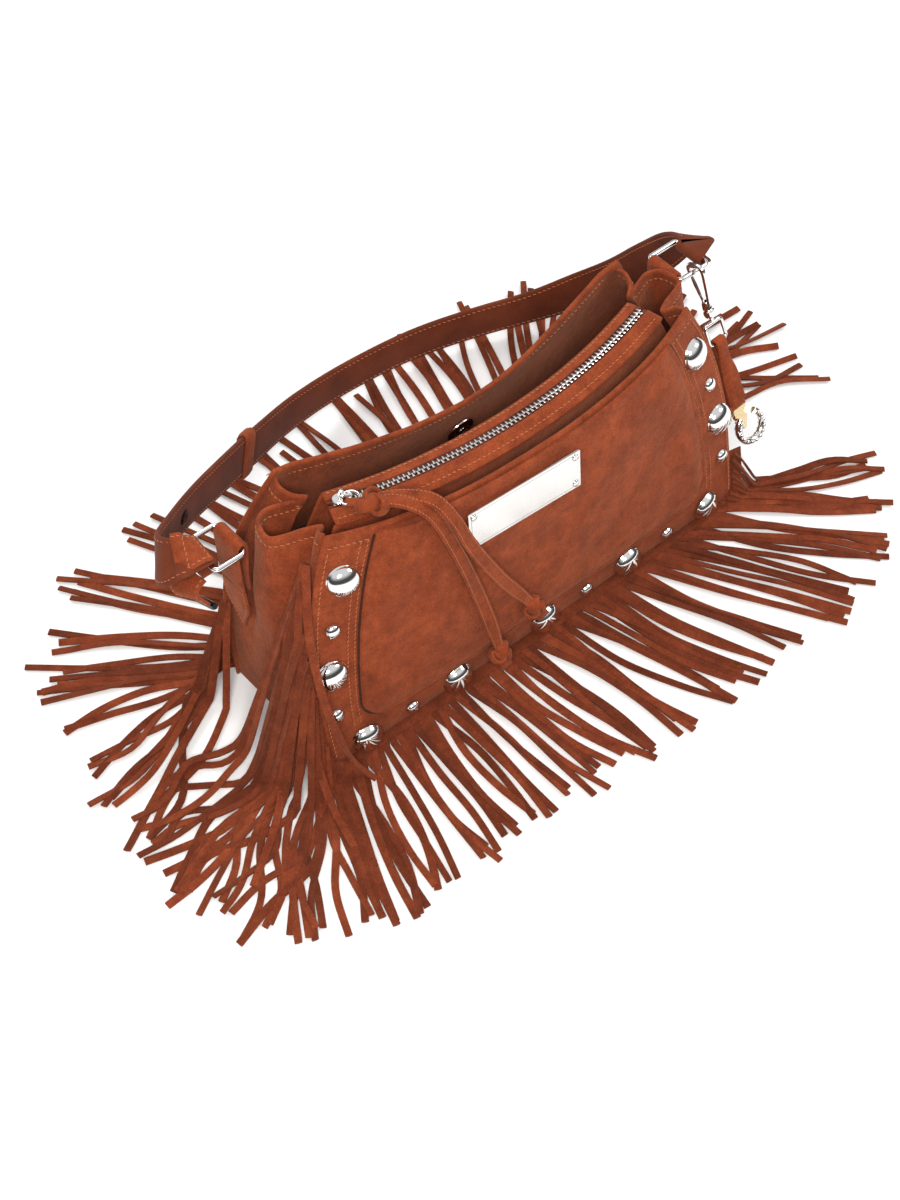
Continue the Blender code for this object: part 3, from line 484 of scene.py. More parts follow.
def spread(count, edges=()):
    """Shares from 0 to 1, with extra ones close to both ends for a rounded rim."""
    gap = max(edges, default=0) * 1.3
    inner = [k / count for k in range(1, count) if gap < k / count < 1 - gap]
    return sorted({0.0, 1.0, *inner, *edges, *(1 - e for e in edges)})


def sheet_faces(columns, rows):
    """The faces of a thick sheet: an outer grid of points, an inner one after it, and the rim between them."""
    faces = []

    def at(i, j, k):
        return (k * rows + j) * columns + i

    for j in range(rows - 1):
        for i in range(columns - 1):
            faces.append((at(i, j, 0), at(i + 1, j, 0), at(i + 1, j + 1, 0), at(i, j + 1, 0)))
            faces.append((at(i, j + 1, 1), at(i + 1, j + 1, 1), at(i + 1, j, 1), at(i, j, 1)))
    for i in range(columns - 1):
        for j in (0, rows - 1):
            faces.append((at(i, j, 0), at(i, j, 1), at(i + 1, j, 1), at(i + 1, j, 0)))
    for j in range(rows - 1):
        for i in (0, columns - 1):
            faces.append((at(i, j, 0), at(i, j + 1, 0), at(i, j + 1, 1), at(i, j, 1)))
    return faces


def panel(name, surface, us, vs, thick, material, replaces, rim, relief=None):
    """A thick sheet of the bag over surface(u, v), with half-round edges rim metres deep.

    relief(u, v) adds to the outer side. us and vs are shares from 0 to 1.
    """
    step = 0.004
    grid, normals = [], []
    for v in vs:
        row, bent = [], []
        for u in us:
            row.append(surface(u, v))
            across = surface(min(u + step, 1), v) - surface(max(u - step, 0), v)
            rise = surface(u, min(v + step, 1)) - surface(u, max(v - step, 0))
            bent.append(across.cross(rise).normalized())
        grid.append(row)
        normals.append(bent)
    columns, rows = len(us), len(vs)

    def edge(i, j):
        """The share of full thickness at this point, from its distance to the nearest rim."""
        beside = grid[j][0 if i < columns // 2 else -1]
        above = grid[0 if j < rows // 2 else -1][i]
        distance = min(rim, (grid[j][i] - beside).length, (grid[j][i] - above).length) / rim
        return sqrt(1 - (1 - distance) ** 2)

    shape = Shape()
    for sign in (1, -1):
        for j in range(rows):
            for i in range(columns):
                out = thick / 2 * max(edge(i, j), 0.08)
                if relief and sign == 1:
                    out += relief(us[i], vs[j])
                shape.points.append(grid[j][i] + normals[j][i] * sign * out)
    shape.faces = sheet_faces(columns, rows)
    shape.add(name, material, "bag", replaces, sharp=0)


def stitches(shape, route, out, pitch=3.2 * MM, length=2.3 * MM, radius=0.36 * MM, sink=0.1 * MM):
    """Adds thread stitches along a route. out is the way the sewn face looks, or a list of such ways."""
    looks = [out] if isinstance(out, Vector) else out
    places = spaced(route, pitch)
    last = len(places) - 1
    for k in range(last):
        a, b = places[k], places[k + 1]
        middle, along = (a + b) / 2, (b - a).normalized()
        normal = looks[int((k + 0.5) / last * len(looks))].normalized()
        side = along.cross(normal).normalized()
        side = (side + along * 0.12).normalized()
        sections = []
        for t, r in ((-1, 0.25), (-0.72, 0.85), (0, 1.0), (0.72, 0.85), (1, 0.25)):
            lift = radius * (0.55 - 0.75 * t * t) - sink
            centre = middle + along * (t * length / 2) + side * (0.12 * t * length) + normal * lift
            turns = [2 * pi * i / 6 for i in range(6)]
            sections.append([centre + (side * cos(a) + normal * sin(a)) * radius * r for a in turns])
        shape.ring_tube(sections)


# A place along a flat band: its centre, the unit vectors across and outwards, and its half width and thickness.
Station = namedtuple("Station", "point across out half thick")


def band_along(stations):
    return [band_section(p.point, p.across * p.half, p.out * p.thick, 0.5, 3) for p in stations]


def sew_edges(thread, stations, inset, lift, *sizes, face=1):
    """Stitches along both edges of a band, on its outer face, or on the inner one where face is -1."""
    looks = [p.out * face for p in stations]
    for sign in (1, -1):
        line = [p.point + p.across * sign * (p.half - inset) + p.out * face * lift for p in stations]
        stitches(thread, line, looks, *sizes)


def ruffle(point, scale, size, seed=0.0):
    """Smooth unevenness of a soft surface."""
    return noise.noise(point * scale + Vector((seed, seed * 1.7, -seed))) * size


# ---------------------------------------------------------------- surfaces of the body


def half_width(v):
    return HALF_WIDTH + 8 * MM * v * (1 - v) - TOP_NARROWING * max(v, 0) ** 3.2


def front_point(u, v, out=0.0):
    top = HEIGHT - 4 * MM * (1 - u * u)
    z = 1.2 * MM + (top - 1.2 * MM) * v
    curl = 3.5 * MM * max(0.0, 1 - z / (15 * MM)) ** 2
    belly = 2.5 * MM * sin(pi * v) * (1 - u * u)
    y = -HALF_DEPTH - 2 * MM + v * (22 * MM * abs(u) ** 2.5 + 4 * MM) + curl - belly
    return Vector((u * half_width(v), y - out, z))


def front_normal(u, v):
    step = 0.01
    across = front_point(u + step, v) - front_point(u - step, v)
    rise = front_point(u, v + step) - front_point(u, v - step)
    return across.cross(rise).normalized()


def back_point(u, v, inward=0.0):
    u = clamp(u, -1.0, 1.0)
    v = max(v, 0.0)
    sag = (1 - u * u) ** 1.3
    z = 1.2 * MM + (HEIGHT + 2 * MM - 14 * MM * sag - 1.2 * MM) * v
    top_y = 16 * MM + 21 * MM * abs(u) ** 1.6
    y = HALF_DEPTH + 1 * MM + 3 * MM * sin(pi * v) - (HALF_DEPTH + 1 * MM - top_y) * v**2.2
    return Vector((u * (half_width(v) - 4 * MM * v**3), y - inward, z))


def zip_point(angle, outward, z):
    radius = ZIP_RADIUS + outward
    return Vector((radius * sin(angle), ZIP_CENTRE_Y - radius * cos(angle), z))


def body_lines():
    """The rim shares used by the large panels."""
    return spread(66, (0.0012, 0.004, 0.009)), spread(34, (0.0025, 0.008, 0.018))


# ---------------------------------------------------------------- body


def make_front():
    us, vs = body_lines()
    vs = sorted(set(vs + [0.955, 0.962, 0.968, 0.975]))

    def surface(s, t):
        u = 2 * s - 1
        point = front_point(u, t, -1.0 * MM)
        fade = 4 * t * (1 - t) if t < 0.5 else 1 - 0.6 * (2 * t - 1) ** 4
        wave = ruffle(point, 22, 1.3 * MM) + ruffle(point, 60, 0.4 * MM, 3)
        lip = 1.6 * MM * bell((t - 1) * HEIGHT, 9 * MM) * sin(u * 7 + 1.0)
        return point + Vector((0, -wave * fade - lip * 0.4, lip * 0.5))

    def relief(s, t):
        return -0.35 * MM * bell((1 - t) * HEIGHT - FRONT_HEM, 1.0 * MM)

    panel("front_panel_suede", surface, us, vs, 3.0 * MM, SUEDE, ("front_panel",), 1.6 * MM, relief)


PATCH_LOW = 0.157
PATCH_TOP = 0.985
PATCH_CORNER = 0.13


def patch_u(s, t):
    rounding = max(0.0, 1 - t / PATCH_CORNER)
    reach = 0.845 - 0.045 * t - 0.13 * (1 - sqrt(max(0.0, 1 - rounding**2)))
    return (2 * s - 1) * reach


def patch_look(u, v):
    """The way the patch faces: between straight ahead and square to the panel."""
    return Vector((0, -1, 0)) * 0.65 + front_normal(u, min(v, 0.98)) * 0.35


def make_patch():
    """It rises at once at its edge, like a thick turned hem, then swells to full height further in."""
    us = spread(64, (0.0008, 0.0022, 0.0045, 0.009, 0.014, 0.0175, 0.021, 0.026))
    vs = spread(38, (0.0015, 0.004, 0.0085, 0.016, 0.026, 0.033, 0.04, 0.05))
    shape, back = Shape(), []
    for t in vs:
        for s in us:
            u, v = patch_u(s, t), blend(PATCH_LOW, PATCH_TOP, t)
            base, look = front_point(u, v), patch_look(u, v)
            # Rough distances in millimetres from this point to the nearer side and to the bottom.
            beside, below = min(s, 1 - s) * 250, t * 130
            rim = sqrt(clamp(1 - (1 - clamp(min(beside, below) / 1.6)) ** 2))
            swell = eased(beside / 13) * eased(below / 11)
            full = 2.6 * rim + 1.9 * swell - 0.8 * bell(min(beside, below) - 4.2, 1.1)
            full *= 1 - 0.3 * eased((t - 0.8) / 0.2)
            dent = ruffle(base, 26, 1.5, 5) + ruffle(base, 70, 0.45, 9)
            crease = 1.1 * bell((s - 0.1 - 0.05 * t) * 100, 3.2) + 0.9 * bell((s - 0.9 + 0.05 * t) * 100, 3.2)
            shape.points.append(base + look * (1.45 + full + dent * swell - crease * eased(t * 3)) * MM)
            back.append(base + look * 1.25 * MM)
    shape.points += back
    shape.faces = sheet_faces(len(us), len(vs))
    patch = shape.add("front_patch_suede", SUEDE, "bag", ("front_patch",), sharp=60)


def make_patch_shadow_line():
    """Painted shadow: a dark tube just under the patch's hem, down one side, along the bottom and up the other,
    where the hem's lip throws its shade.
    """
    steps = 60
    # The bottom run sits below the patch's lip, where its painted shadow falls on the panel.
    low = PATCH_LOW - 0.0105
    sides = [blend(PATCH_TOP, 0.0, (k / steps) ** 0.8) for k in range(steps + 1)]
    route = [(patch_u(0.0, t), blend(low, PATCH_TOP, t)) for t in sides]
    route += [(patch_u(k / steps, 0.0), low) for k in range(1, steps)]
    sides = [blend(0.0, PATCH_TOP, (k / steps) ** 1.25) for k in range(steps + 1)]
    route += [(patch_u(1.0, t), blend(low, PATCH_TOP, t)) for t in sides]
    points = [front_point(u * 1.001, v) + patch_look(u, v) * 1.15 * MM for u, v in route]
    # This dark tube is painted shadow along the patch's hem.
    add_tube("patch_painted_shadow_line", wire_sections(spaced(points, 1.6 * MM), 0.8 * MM, 8), PAINTED_SHADOW_BROWN, "bag", sharp=0)


def make_back():
    us, vs = body_lines()

    def surface(s, t):
        u = 2 * s - 1
        point = back_point(u, t, 1.0 * MM)
        fade = 4 * t * (1 - t) if t < 0.5 else 1 - 0.5 * (2 * t - 1) ** 4
        wave = ruffle(point, 20, 1.6 * MM, 11) + ruffle(point, 55, 0.4 * MM, 13)
        corner = 5 * MM * eased((abs(u) - 0.86) / 0.14) * eased((t - 0.7) / 0.3)
        return point + Vector((-corner * 0.4 * u, wave * fade - corner, corner * 0.5))

    def relief(s, t):
        return -0.35 * MM * bell((1 - t) * HEIGHT - HEM, 1.0 * MM)

    vs = sorted(set(vs + [0.955, 0.962, 0.968]))
    panel("back_panel_suede", flipped(surface), us, vs, 3.0 * MM, SUEDE, ("back_panel",), 1.6 * MM, relief)


def make_linings():
    us, vs = spread(40), spread(22)

    def front(s, t):
        point = front_point((1 - 2 * s) * 0.93, 0.1 + 0.83 * t, -4.4 * MM)
        return point + Vector((0, ruffle(point, 45, 1.0 * MM, 21) + 0.3 * MM, 0))

    def back(s, t):
        point = back_point((2 * s - 1) * 0.9, 0.08 + 0.56 * t, 4.9 * MM)
        return point - Vector((0, ruffle(point, 40, 1.2 * MM, 23) + 0.4 * MM, 0))

    panel("front_lining_cloth", front, us, vs, 0.7 * MM, LINING, ("front_lining",), 0.4 * MM)
    panel("back_lining_cloth", back, us, vs, 0.7 * MM, LINING, ("back_lining",), 0.4 * MM)


# Plan of the folded end wall at its top, back corner to front corner, in millimetres.
GUSSET_TOP = [
    (121, 34.6, 157),
    (123.5, 27, 156),
    (121, 19, 154),
    (114.5, 13.5, 152),
    (118, 15.5, 151),
    (126, 18.5, 151),
    (136, 21.5, 151.5),
    (143.5, 18.5, 151.5),
    (147, 11, 151),
    (146.5, 5, 150.5),
    (140, 1.5, 150.5),
    (130, -2, 151),
    (121.5, -7, 152),
    (125, -9.5, 153),
    (127.5, -13, 155),
    (127, -17.6, 157),
]


def gusset_surface(side, seed):
    plan = curve_through(in_mm(GUSSET_TOP), 8)
    top = spaced(plan, 0.8 * MM)
    span = GUSSET_TOP[0][1] - GUSSET_TOP[-1][1]

    def surface(s, t):
        s = clamp(s)
        place = s * (len(top) - 1)
        k = min(int(place), len(top) - 2)
        head = blend(top[k], top[k + 1], place - k)
        share = (GUSSET_TOP[0][1] * MM - head.y) / (span * MM)
        z = blend(2.8 * MM, head.z, t)
        v = z / HEIGHT
        back_y = back_point(0.94, v).y - 2.8 * MM
        front_y = front_point(1.0, v).y + 3.2 * MM
        y = blend(back_y, front_y, blend(s, share, max(t, 0) ** 1.4))
        x = blend(half_width(0) - 1.4 * MM, head.x, max(t, 0) ** 2.6) + 2.5 * MM * sin(pi * t) * sin(pi * s)
        point = Vector((side * (x - 0.9 * MM), y, z))
        wave = ruffle(point, 38, 1.6 * MM, seed) * sin(pi * clamp(t)) * sin(pi * s)
        return point + Vector((side * wave, wave * 0.4, 0))

    return surface


GUSSETS = {-1: gusset_surface(-1, 31), 1: gusset_surface(1, 37)}


def make_gussets():
    def relief(s, t):
        return -0.3 * MM * bell((1 - t) * GUSSET_HEIGHT - HEM, 1.0 * MM)

    us = spread(110, (0.004, 0.01))
    vs = sorted(set(spread(30, (0.003, 0.009, 0.018)) + [0.953, 0.96, 0.967]))
    for name, surface in (("gusset_left", GUSSETS[-1]), ("gusset_right", flipped(GUSSETS[1]))):
        panel(name + "_suede", surface, us, vs, 2.7 * MM, SUEDE, (name,), 1.5 * MM, relief)


def make_base():
    shape = Shape()
    shape.prism(rounded(half_width(0) / MM - 3.5, HALF_DEPTH / MM - 3.6, 12, 8), 0.0, 2.4, Matrix(), 0.6)
    shape.add("base_suede", SUEDE, "bag", ("base_panel",))


def pouch_face(outward, foot_y, top_z, seed):
    def surface(s, t):
        side = 2 * s - 1
        top = zip_point(side * ZIP_HALF_ANGLE, outward, top_z)
        top_reach = (ZIP_RADIUS + outward) * sin(ZIP_HALF_ANGLE)
        reach = blend(half_width(0) - 9 * MM, top_reach, max(t, 0) ** 2.6)
        y = blend(foot_y, top.y, max(t, 0) ** 1.3) + 0.7 * MM
        point = Vector((side * reach if t < 0.999 else top.x, y, blend(2.8 * MM, top_z, t)))
        return point + Vector((0, ruffle(point, 34, 1.6 * MM, seed) * sin(pi * clamp(t)), 0))

    return surface


def make_pouch():
    us, vs = spread(60, (0.003, 0.008)), spread(20, (0.006, 0.015))
    back = flipped(pouch_face(-9.0 * MM, 12 * MM, ZIP_Z - 1.2 * MM, 41))
    ahead = pouch_face(11.5 * MM, -15 * MM, ZIP_Z - 3.9 * MM, 43)
    panel("pouch_back_suede", back, us, vs, 1.8 * MM, SUEDE, ("pouch_back_wall",), 0.9 * MM)
    panel("pouch_front_suede", ahead, us, vs, 1.8 * MM, SUEDE, ("pouch_front_wall",), 0.9 * MM)


# ---------------------------------------------------------------- zip


def arc_band(name, profile, material, replaces, seed):
    """A band along the zip arc with this closed section of (outward, height) in millimetres."""
    steps = 90
    sections = []
    for k in range(steps + 1):
        angle = blend(-ZIP_HALF_ANGLE, ZIP_HALF_ANGLE, k / steps)
        pinch = clamp(0.35 + min(k, steps - k) / steps * 60)
        ring = []
        for outward, height in profile:
            point = zip_point(angle, outward * MM, ZIP_Z + height * MM * pinch)
            ring.append(point + Vector((0, 0, ruffle(point, 50, 0.35 * MM, seed))))
        sections.append(ring)
    add_tube(name, sections, material, "bag", replaces, sharp=0)


def make_zip():
    back = [(-3.1, 0.0), (-3.5, 0.75), (-4.4, 0.95), (-7.6, 0.75), (-9.3, 0.4), (-9.7, -0.5), (-9.2, -1.2),
            (-6, -0.9), (-3.6, -0.6)]
    front = [(3.1, 0.0), (3.5, 0.75), (4.4, 0.9), (6.4, 0.0), (8.4, -0.95), (10.6, -1.75), (12.6, -2.5),
             (13.1, -3.3), (12.5, -4.1), (9.0, -3.2), (3.6, -0.7)]
    arc_band("zip_side_back_suede", back, SUEDE, ("zip_side_back",), 51)
    arc_band("zip_side_front_suede", front, SUEDE, ("zip_side_front",), 53)
    near, middle, far, half = -0.75, 0.5, 2.75, 0.66
    count = floor(2 * ZIP_HALF_ANGLE * 0.985 * ZIP_RADIUS / TOOTH_PITCH)
    for side, name, shift in ((1, "back", 0.75), (-1, "front", 0.25)):
        tape = [(-side * 0.9, -0.7), (-side * 3.4, -0.75), (-side * 3.4, -0.35), (-side * 0.9, -0.3)]
        arc_band(f"zip_tape_{name}", tape, STRAP_BROWN, (), 0)
        right = [(half * 1.15, side * near), (half * 0.8, side * middle), (half * 1.05, side * far)]
        outline = right + [(-x, y) for x, y in reversed(right)]
        shape = Shape()
        for k in range(count):
            angle = (k - count / 2 + shift) * TOOTH_PITCH / ZIP_RADIUS
            place = facing(zip_point(angle, 0, ZIP_Z), UP, Vector((cos(angle), sin(angle), 0)))
            shape.prism(outline, -1.15, 1.25, place, 0.28)
        shape.add(f"zip_teeth_{name}_metal", STEEL, "bag", (f"zip_teeth_{name}",), sharp=50)


def slider_frame():
    point = zip_point(SLIDER_ANGLE, 0.0, ZIP_Z)
    return Matrix.Translation(point) @ Matrix.Rotation(SLIDER_ANGLE, 4, "Z")


def make_slider():
    place = slider_frame()
    shape = Shape()
    outline = []
    for k in range(24):
        x, y = cos(2 * pi * k / 24), sin(2 * pi * k / 24)
        outline.append((6.0 * x, (4.3 - 0.45 * (x + 1)) * y))
    shape.prism(outline, 1.5, 3.0, place, 0.5)
    shape.prism(outline, -3.0, -1.6, place, 0.4)
    shape.prism([(-5.4, -0.5), (-3.6, -0.35), (-3.6, 0.35), (-5.4, 0.5)], -2.0, 2.0, place)
    half = ((3.2, 2.4), (3.1, 4.6), (2.2, 6.6))
    bridge = in_mm([(0, -y, z) for y, z in half] + [(0, 0, 7.2)] + [(0, y, z) for y, z in reversed(half)])
    route = [place @ p for p in curve_through(bridge, 4)]
    across = place.to_3x3() @ Vector((1.1 * MM, 0, 0))
    sections = []
    for k, point in enumerate(route):
        thick = tangent(route, k).cross(across).normalized() * 0.45 * MM
        sections.append(band_section(point, across, thick))
    shape.ring_tube(sections)
    shape.add("zip_slider_metal", STEEL, "slider", ("zip_slider",))


def make_pull_ring():
    place = slider_frame()
    radius = 5.2 * MM
    ahead = (place.to_3x3() @ Vector((0.5, -0.87, 0.0))).normalized()
    ahead = (ahead + UP * 0.17).normalized()
    centre = place @ Vector((0, 0, 4.7 * MM)) + ahead * radius
    side = ahead.cross(UP).normalized()
    route = [centre + (ahead * cos(2 * pi * k / 40) + side * sin(2 * pi * k / 40)) * radius for k in range(40)]
    sections = wire_sections(route, 0.75 * MM, 12, True)
    add_tube("pull_ring_metal", sections, STEEL, "pull", ("pull_ring",), closed=True)


def knot_route(centre, size, x, y, z):
    """A trefoil's closed path, the look of a simple knot."""
    points = []
    for k in range(72):
        t = 2 * pi * k / 72
        px = (sin(t) + 2 * sin(2 * t)) / 3
        py = (cos(t) - 2 * cos(2 * t)) / 3
        pz = -sin(3 * t) * 0.42
        points.append(centre + (x * px + y * py + z * pz) * size)
    return points


def add_knot(shape, centre, along, size, wide, thick):
    """A knot of flat thong round the line through centre."""
    along = along.normalized()
    side = along.cross(UP if abs(along.z) < 0.9 else Vector((0, 1, 0))).normalized()
    route = knot_route(centre, size, along * 1.15, side, along.cross(side))
    sections = []
    for k, point in enumerate(route):
        line = tangent(route, k, True)
        out = square_to((point - centre).normalized(), line)
        across = line.cross(out).normalized()
        sections.append(band_section(point, across * wide / 2, out * thick / 2, 0.5, 3))
    shape.ring_tube(sections, True)
    ball = [(0, -0.74), (0.42, -0.66), (0.7, -0.3), (0.74, 0.1), (0.6, 0.5), (0.3, 0.7), (0, 0.76)]
    shape.turned(ball, 14, facing(centre, along), size)


KNOT_AT = Vector((-97.5, -21, 163)) * MM
TAILS = (
    [(-95, -23, 164), (-88, -31, 166), (-80, -41, 162.5), (-74, -47.5, 151), (-64, -52.5, 118), (-52, -54.6, 74),
     (-45, -56.5, 42), (-43, -57.5, 31)],
    [(-94, -21, 163.5), (-84, -29, 165.5), (-73, -41, 164), (-66, -49.5, 150), (-58, -54, 126), (-40, -56, 88),
     (-24, -57.5, 60), (-20, -58, 52)],
)
THONG_LOOP = [(-100, -17, 163), (-104, -13.5, 162.2), (-106, -10.5, 160.2), (-103.5, -9.5, 158.4),
              (-100, -13.5, 159.2), (-98, -17, 161)]


def tail_stations(number, route):
    """One tail of the thong: it lies flat on the bag's top, turns down over the front and twists a little."""
    stations = []
    for k, point in enumerate(route):
        share = k / (len(route) - 1)
        line = tangent(route, k)
        down = Vector((0.12 if number else -0.1, -1, 0.12))
        out = square_to(blend(Vector((0.1, -0.35, 1)), down, eased(share * 3.2)), line)
        across = line.cross(out).normalized()
        twist = 0.25 * sin(share * 5 + number)
        across, out = (across + out * twist).normalized(), (out - across * twist).normalized()
        half = 4.1 * MM * (1 - 0.25 * eased((share - 0.85) / 0.15))
        stations.append(Station(point, across, out, half, 1.1 * MM))
    return stations


def make_thong():
    shape, thread = Shape(), Shape()
    add_knot(shape, KNOT_AT, Vector((0.66, -0.72, 0.1)), 7.4 * MM, 7.6 * MM, 2.4 * MM)
    route = curve_through(in_mm(THONG_LOOP), 5)
    stations = []
    for k, point in enumerate(route):
        line = tangent(route, k)
        across = square_to(Vector((0.72, 0.6, 0.2)), line)
        stations.append(Station(point, across, line.cross(across), 2.4 * MM, 0.7 * MM))
    shape.ring_tube(band_along(stations))
    for number, run in enumerate(TAILS):
        route = spaced(curve_through(in_mm(run), 10), 1.5 * MM)
        stations = tail_stations(number, route)
        shape.ring_tube(band_along(stations))
        sew_edges(thread, stations, 1.2 * MM, 1.15 * MM, 2.2 * MM, 1.6 * MM, 0.24 * MM)
        line = tangent(route, len(route) - 1)
        knot = route[-1] + line * 4.5 * MM
        add_knot(shape, knot, line, 6.0 * MM, 6.6 * MM, 2.3 * MM)
        flag = []
        across = line.cross(Vector((0, -1, 0))).normalized()
        for k in range(6):
            point = knot + line * (3.5 + 2.0 * k) * MM + Vector((0.1 * k, -0.12 * k, 0)) * MM
            flag.append(band_section(point, across * (2.8 + 0.28 * k) * MM, Vector((0, -1.0 * MM, 0)), 0.4, 3))
        shape.ring_tube(flag)
    shape.add("thong_suede", SUEDE, "pull", ("pull_thong",), sharp=0)
    thread.add("thong_stitches", THREAD, "pull", sharp=0)


# ---------------------------------------------------------------- front fittings


def plate_frame():
    u, z = -0.135, 135.5 * MM
    return facing(front_point(u, z / HEIGHT, 6.6 * MM), Vector((u * 0.35, -1, 0.06)))


def make_plate():
    """A plain polished plate with a fine engraved border and four screws. It carries no lettering."""
    place = plate_frame()
    half_w, half_h, thick, corner, margin = 38, 13.5, 1.2, 0.8, 3.6
    sections = []
    rim = ((0.25, 0), (0, 0.25), (0, 0.95), (0.25, 1.2))
    border = ((1.7, 1.2), (1.85, 1.06), (2.0, 1.06), (2.15, 1.2))
    for inset, z in rim + border:
        ring = rounded(half_w - inset, half_h - inset, corner, 3)
        sections.append([place @ (Vector((x, y, z)) * MM) for x, y in ring])
    add_tube("plate_metal", sections, PLATE_STEEL, "bag", ("front_plate",), sharp=30)
    profile = [(0, 0), (2.0, 0), (2.05, 0.3), (1.85, 0.62), (1.2, 0.86), (0.6, 0.93), (0, 0.95)]
    for number, (sx, sy) in enumerate(((-1, 1), (1, 1), (-1, -1), (1, -1)), 1):
        corner_at = Vector((sx * (half_w - margin), sy * (half_h - margin), thick + 0.1)) * MM
        head = place @ Matrix.Translation(corner_at)
        screw = Shape()
        screw.turned(profile, 24, head)
        slot = head @ Matrix.Rotation(radians(25 + 40 * number), 4, "Z")
        screw.prism([(-1.3, -0.16), (1.3, -0.16), (1.3, 0.16), (-1.3, 0.16)], 0.7, 1.02, slot)
        screw.add(f"plate_screw_{number}_metal", STEEL, "bag", (f"plate_screw_{number}",), sharp=50)


def stud_places():
    places = []

    def beside(side, z):
        v = z / HEIGHT
        inset = (9 + 10 * v**3) * MM
        u = side * (half_width(v) - inset) / half_width(v)
        normal = front_normal(u, v)
        return front_point(u, v) + normal * 1.1 * MM, normal

    heights = (131 * MM, 101 * MM, 71 * MM, 41 * MM)
    for k, z in enumerate(heights):
        places.append((*beside(-1, z), k % 2 == 0))
    for k in range(-4, 5):
        x = k * STUD_PITCH
        u = x / half_width(0.06)
        point = front_point(u, 12.6 * MM / HEIGHT, 1.3 * MM)
        point.z = 12.6 * MM
        places.append((point, Vector((0.35 * u**3, -1, -0.06)).normalized(), k % 2 == 0))
    for k, z in reversed(list(enumerate(heights))):
        places.append((*beside(1, z), k % 2 == 0))
    return places


def make_studs():
    counts = {True: 0, False: 0}
    for point, normal, large in stud_places():
        counts[large] += 1
        radius, height = (10.0 * MM, 6.4 * MM) if large else (4.5 * MM, 3.1 * MM)
        name = ("stud_large_" if large else "stud_small_") + str(counts[large])
        profile = [(0, -0.9 * MM), (radius * 0.97, -0.9 * MM), (radius, -0.5 * MM), (radius, 0.1 * MM)]
        profile.append((radius * 0.965, 0.45 * MM))
        for k in range(1, 12):
            turn = pi / 2 * k / 12
            profile.append((radius * 0.95 * cos(turn), 0.4 * MM + (height - 0.4 * MM) * sin(turn)))
        profile.append((0, height))
        place = facing(point, normal)
        add_turned(name + "_metal", profile, 48 if large else 30, place, STEEL, (name,), sharp=0, unit=1)


def make_magnet():
    for name, point, normal in (
        ("magnet_back", back_point(0.0, 122 * MM / HEIGHT, 5.0 * MM), Vector((0, -0.96, -0.28))),
        ("magnet_front", Vector((0, 2.6, 118)) * MM, Vector((0, 1, 0.16))),
    ):
        profile = [(0, 0), (8.6, 0), (9.0, 0.4), (9.0, 0.9), (8.5, 1.5), (6.8, 1.8), (5.2, 1.75), (5.0, 1.2)]
        profile += [(3.2, 1.2), (3.1, 2.1), (2.7, 2.3), (0, 2.3)]
        add_turned(name + "_metal", profile, 40, facing(point, normal), STEEL, (name,))


# ---------------------------------------------------------------- rings, tabs and strap


def make_rings():
    for side, outer_x, name in ((-1, LEFT_RING_OUT_X, "ring_left"), (1, RIGHT_RING_OUT_X, "ring_right")):
        middle, half = (outer_x + RING_IN_X) / 2, (outer_x - RING_IN_X) / 2
        outline = rounded(half, RING_HALF_Y, 2.6 * MM, 6)
        route = [Vector((side * (middle + x), RING_Y + y, RING_Z)) for x, y in outline]
        sections = wire_sections(route, 1.55 * MM, 14, True)
        add_tube(name + "_metal", sections, STEEL, "strap", (name,), sharp=0, closed=True)


def tab_stations(side):
    """From the tab's pointed foot on the outer face, up over the ring's bar and down behind."""
    loop_r, foot_z = 3.0 * MM, 66 * MM
    outer = ((-4.4, 66), (-3.4, 78), (-1.6, 98), (-0.2, 120), (0, 132))
    inner = ((0.4, 130), (1.2, 120), (1.0, 104))
    run = [(RING_IN_X + loop_r + x * MM, z * MM) for x, z in outer]
    run += [(RING_IN_X + loop_r * cos(pi * k / 8), RING_Z + loop_r * sin(pi * k / 8)) for k in range(9)]
    run += [(RING_IN_X - loop_r + x * MM, z * MM) for x, z in inner]
    route = spaced(curve_through([Vector((side * x, RING_Y, z)) for x, z in run], 6), 1.2 * MM)
    last = len(route) - 1
    stations = []
    for k, point in enumerate(route):
        out = tangent(route, k).cross(Vector((0, side, 0))).normalized()
        if k < 8:
            out = Vector((side, 0, 0.05)).normalized()
        if k < last / 3 and out.x * side < 0:
            out = -out
        grow = eased((point.z - foot_z) / (24 * MM)) if k < last / 2 else 1.0
        point = point + Vector((side * ruffle(point, 60, 0.5 * MM, 61), 0, 0))
        stations.append(Station(point, Vector((0, 1, 0)), out, blend(2.2 * MM, 10.6 * MM, grow), 0.9 * MM))
    return stations


def make_tabs():
    """Each end's suede tab: pointed and sewn below, folded over the ring's inner bar."""
    for side, name in ((-1, "tab_left"), (1, "tab_right")):
        stations = tab_stations(side)
        tab = add_tube(name + "_suede", band_along(stations), SUEDE, None, sharp=0)
        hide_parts(name)
        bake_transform(tab)
        thread = Shape()
        outer = [p for k, p in enumerate(stations) if k < (len(stations) - 1) * 0.46]
        sew_edges(thread, outer, 1.7 * MM, 0.95 * MM, 2.8 * MM, 2.0 * MM, 0.3 * MM)
        sewn = thread.add(name + "_stitches", THREAD, None, sharp=0)
        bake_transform(sewn)


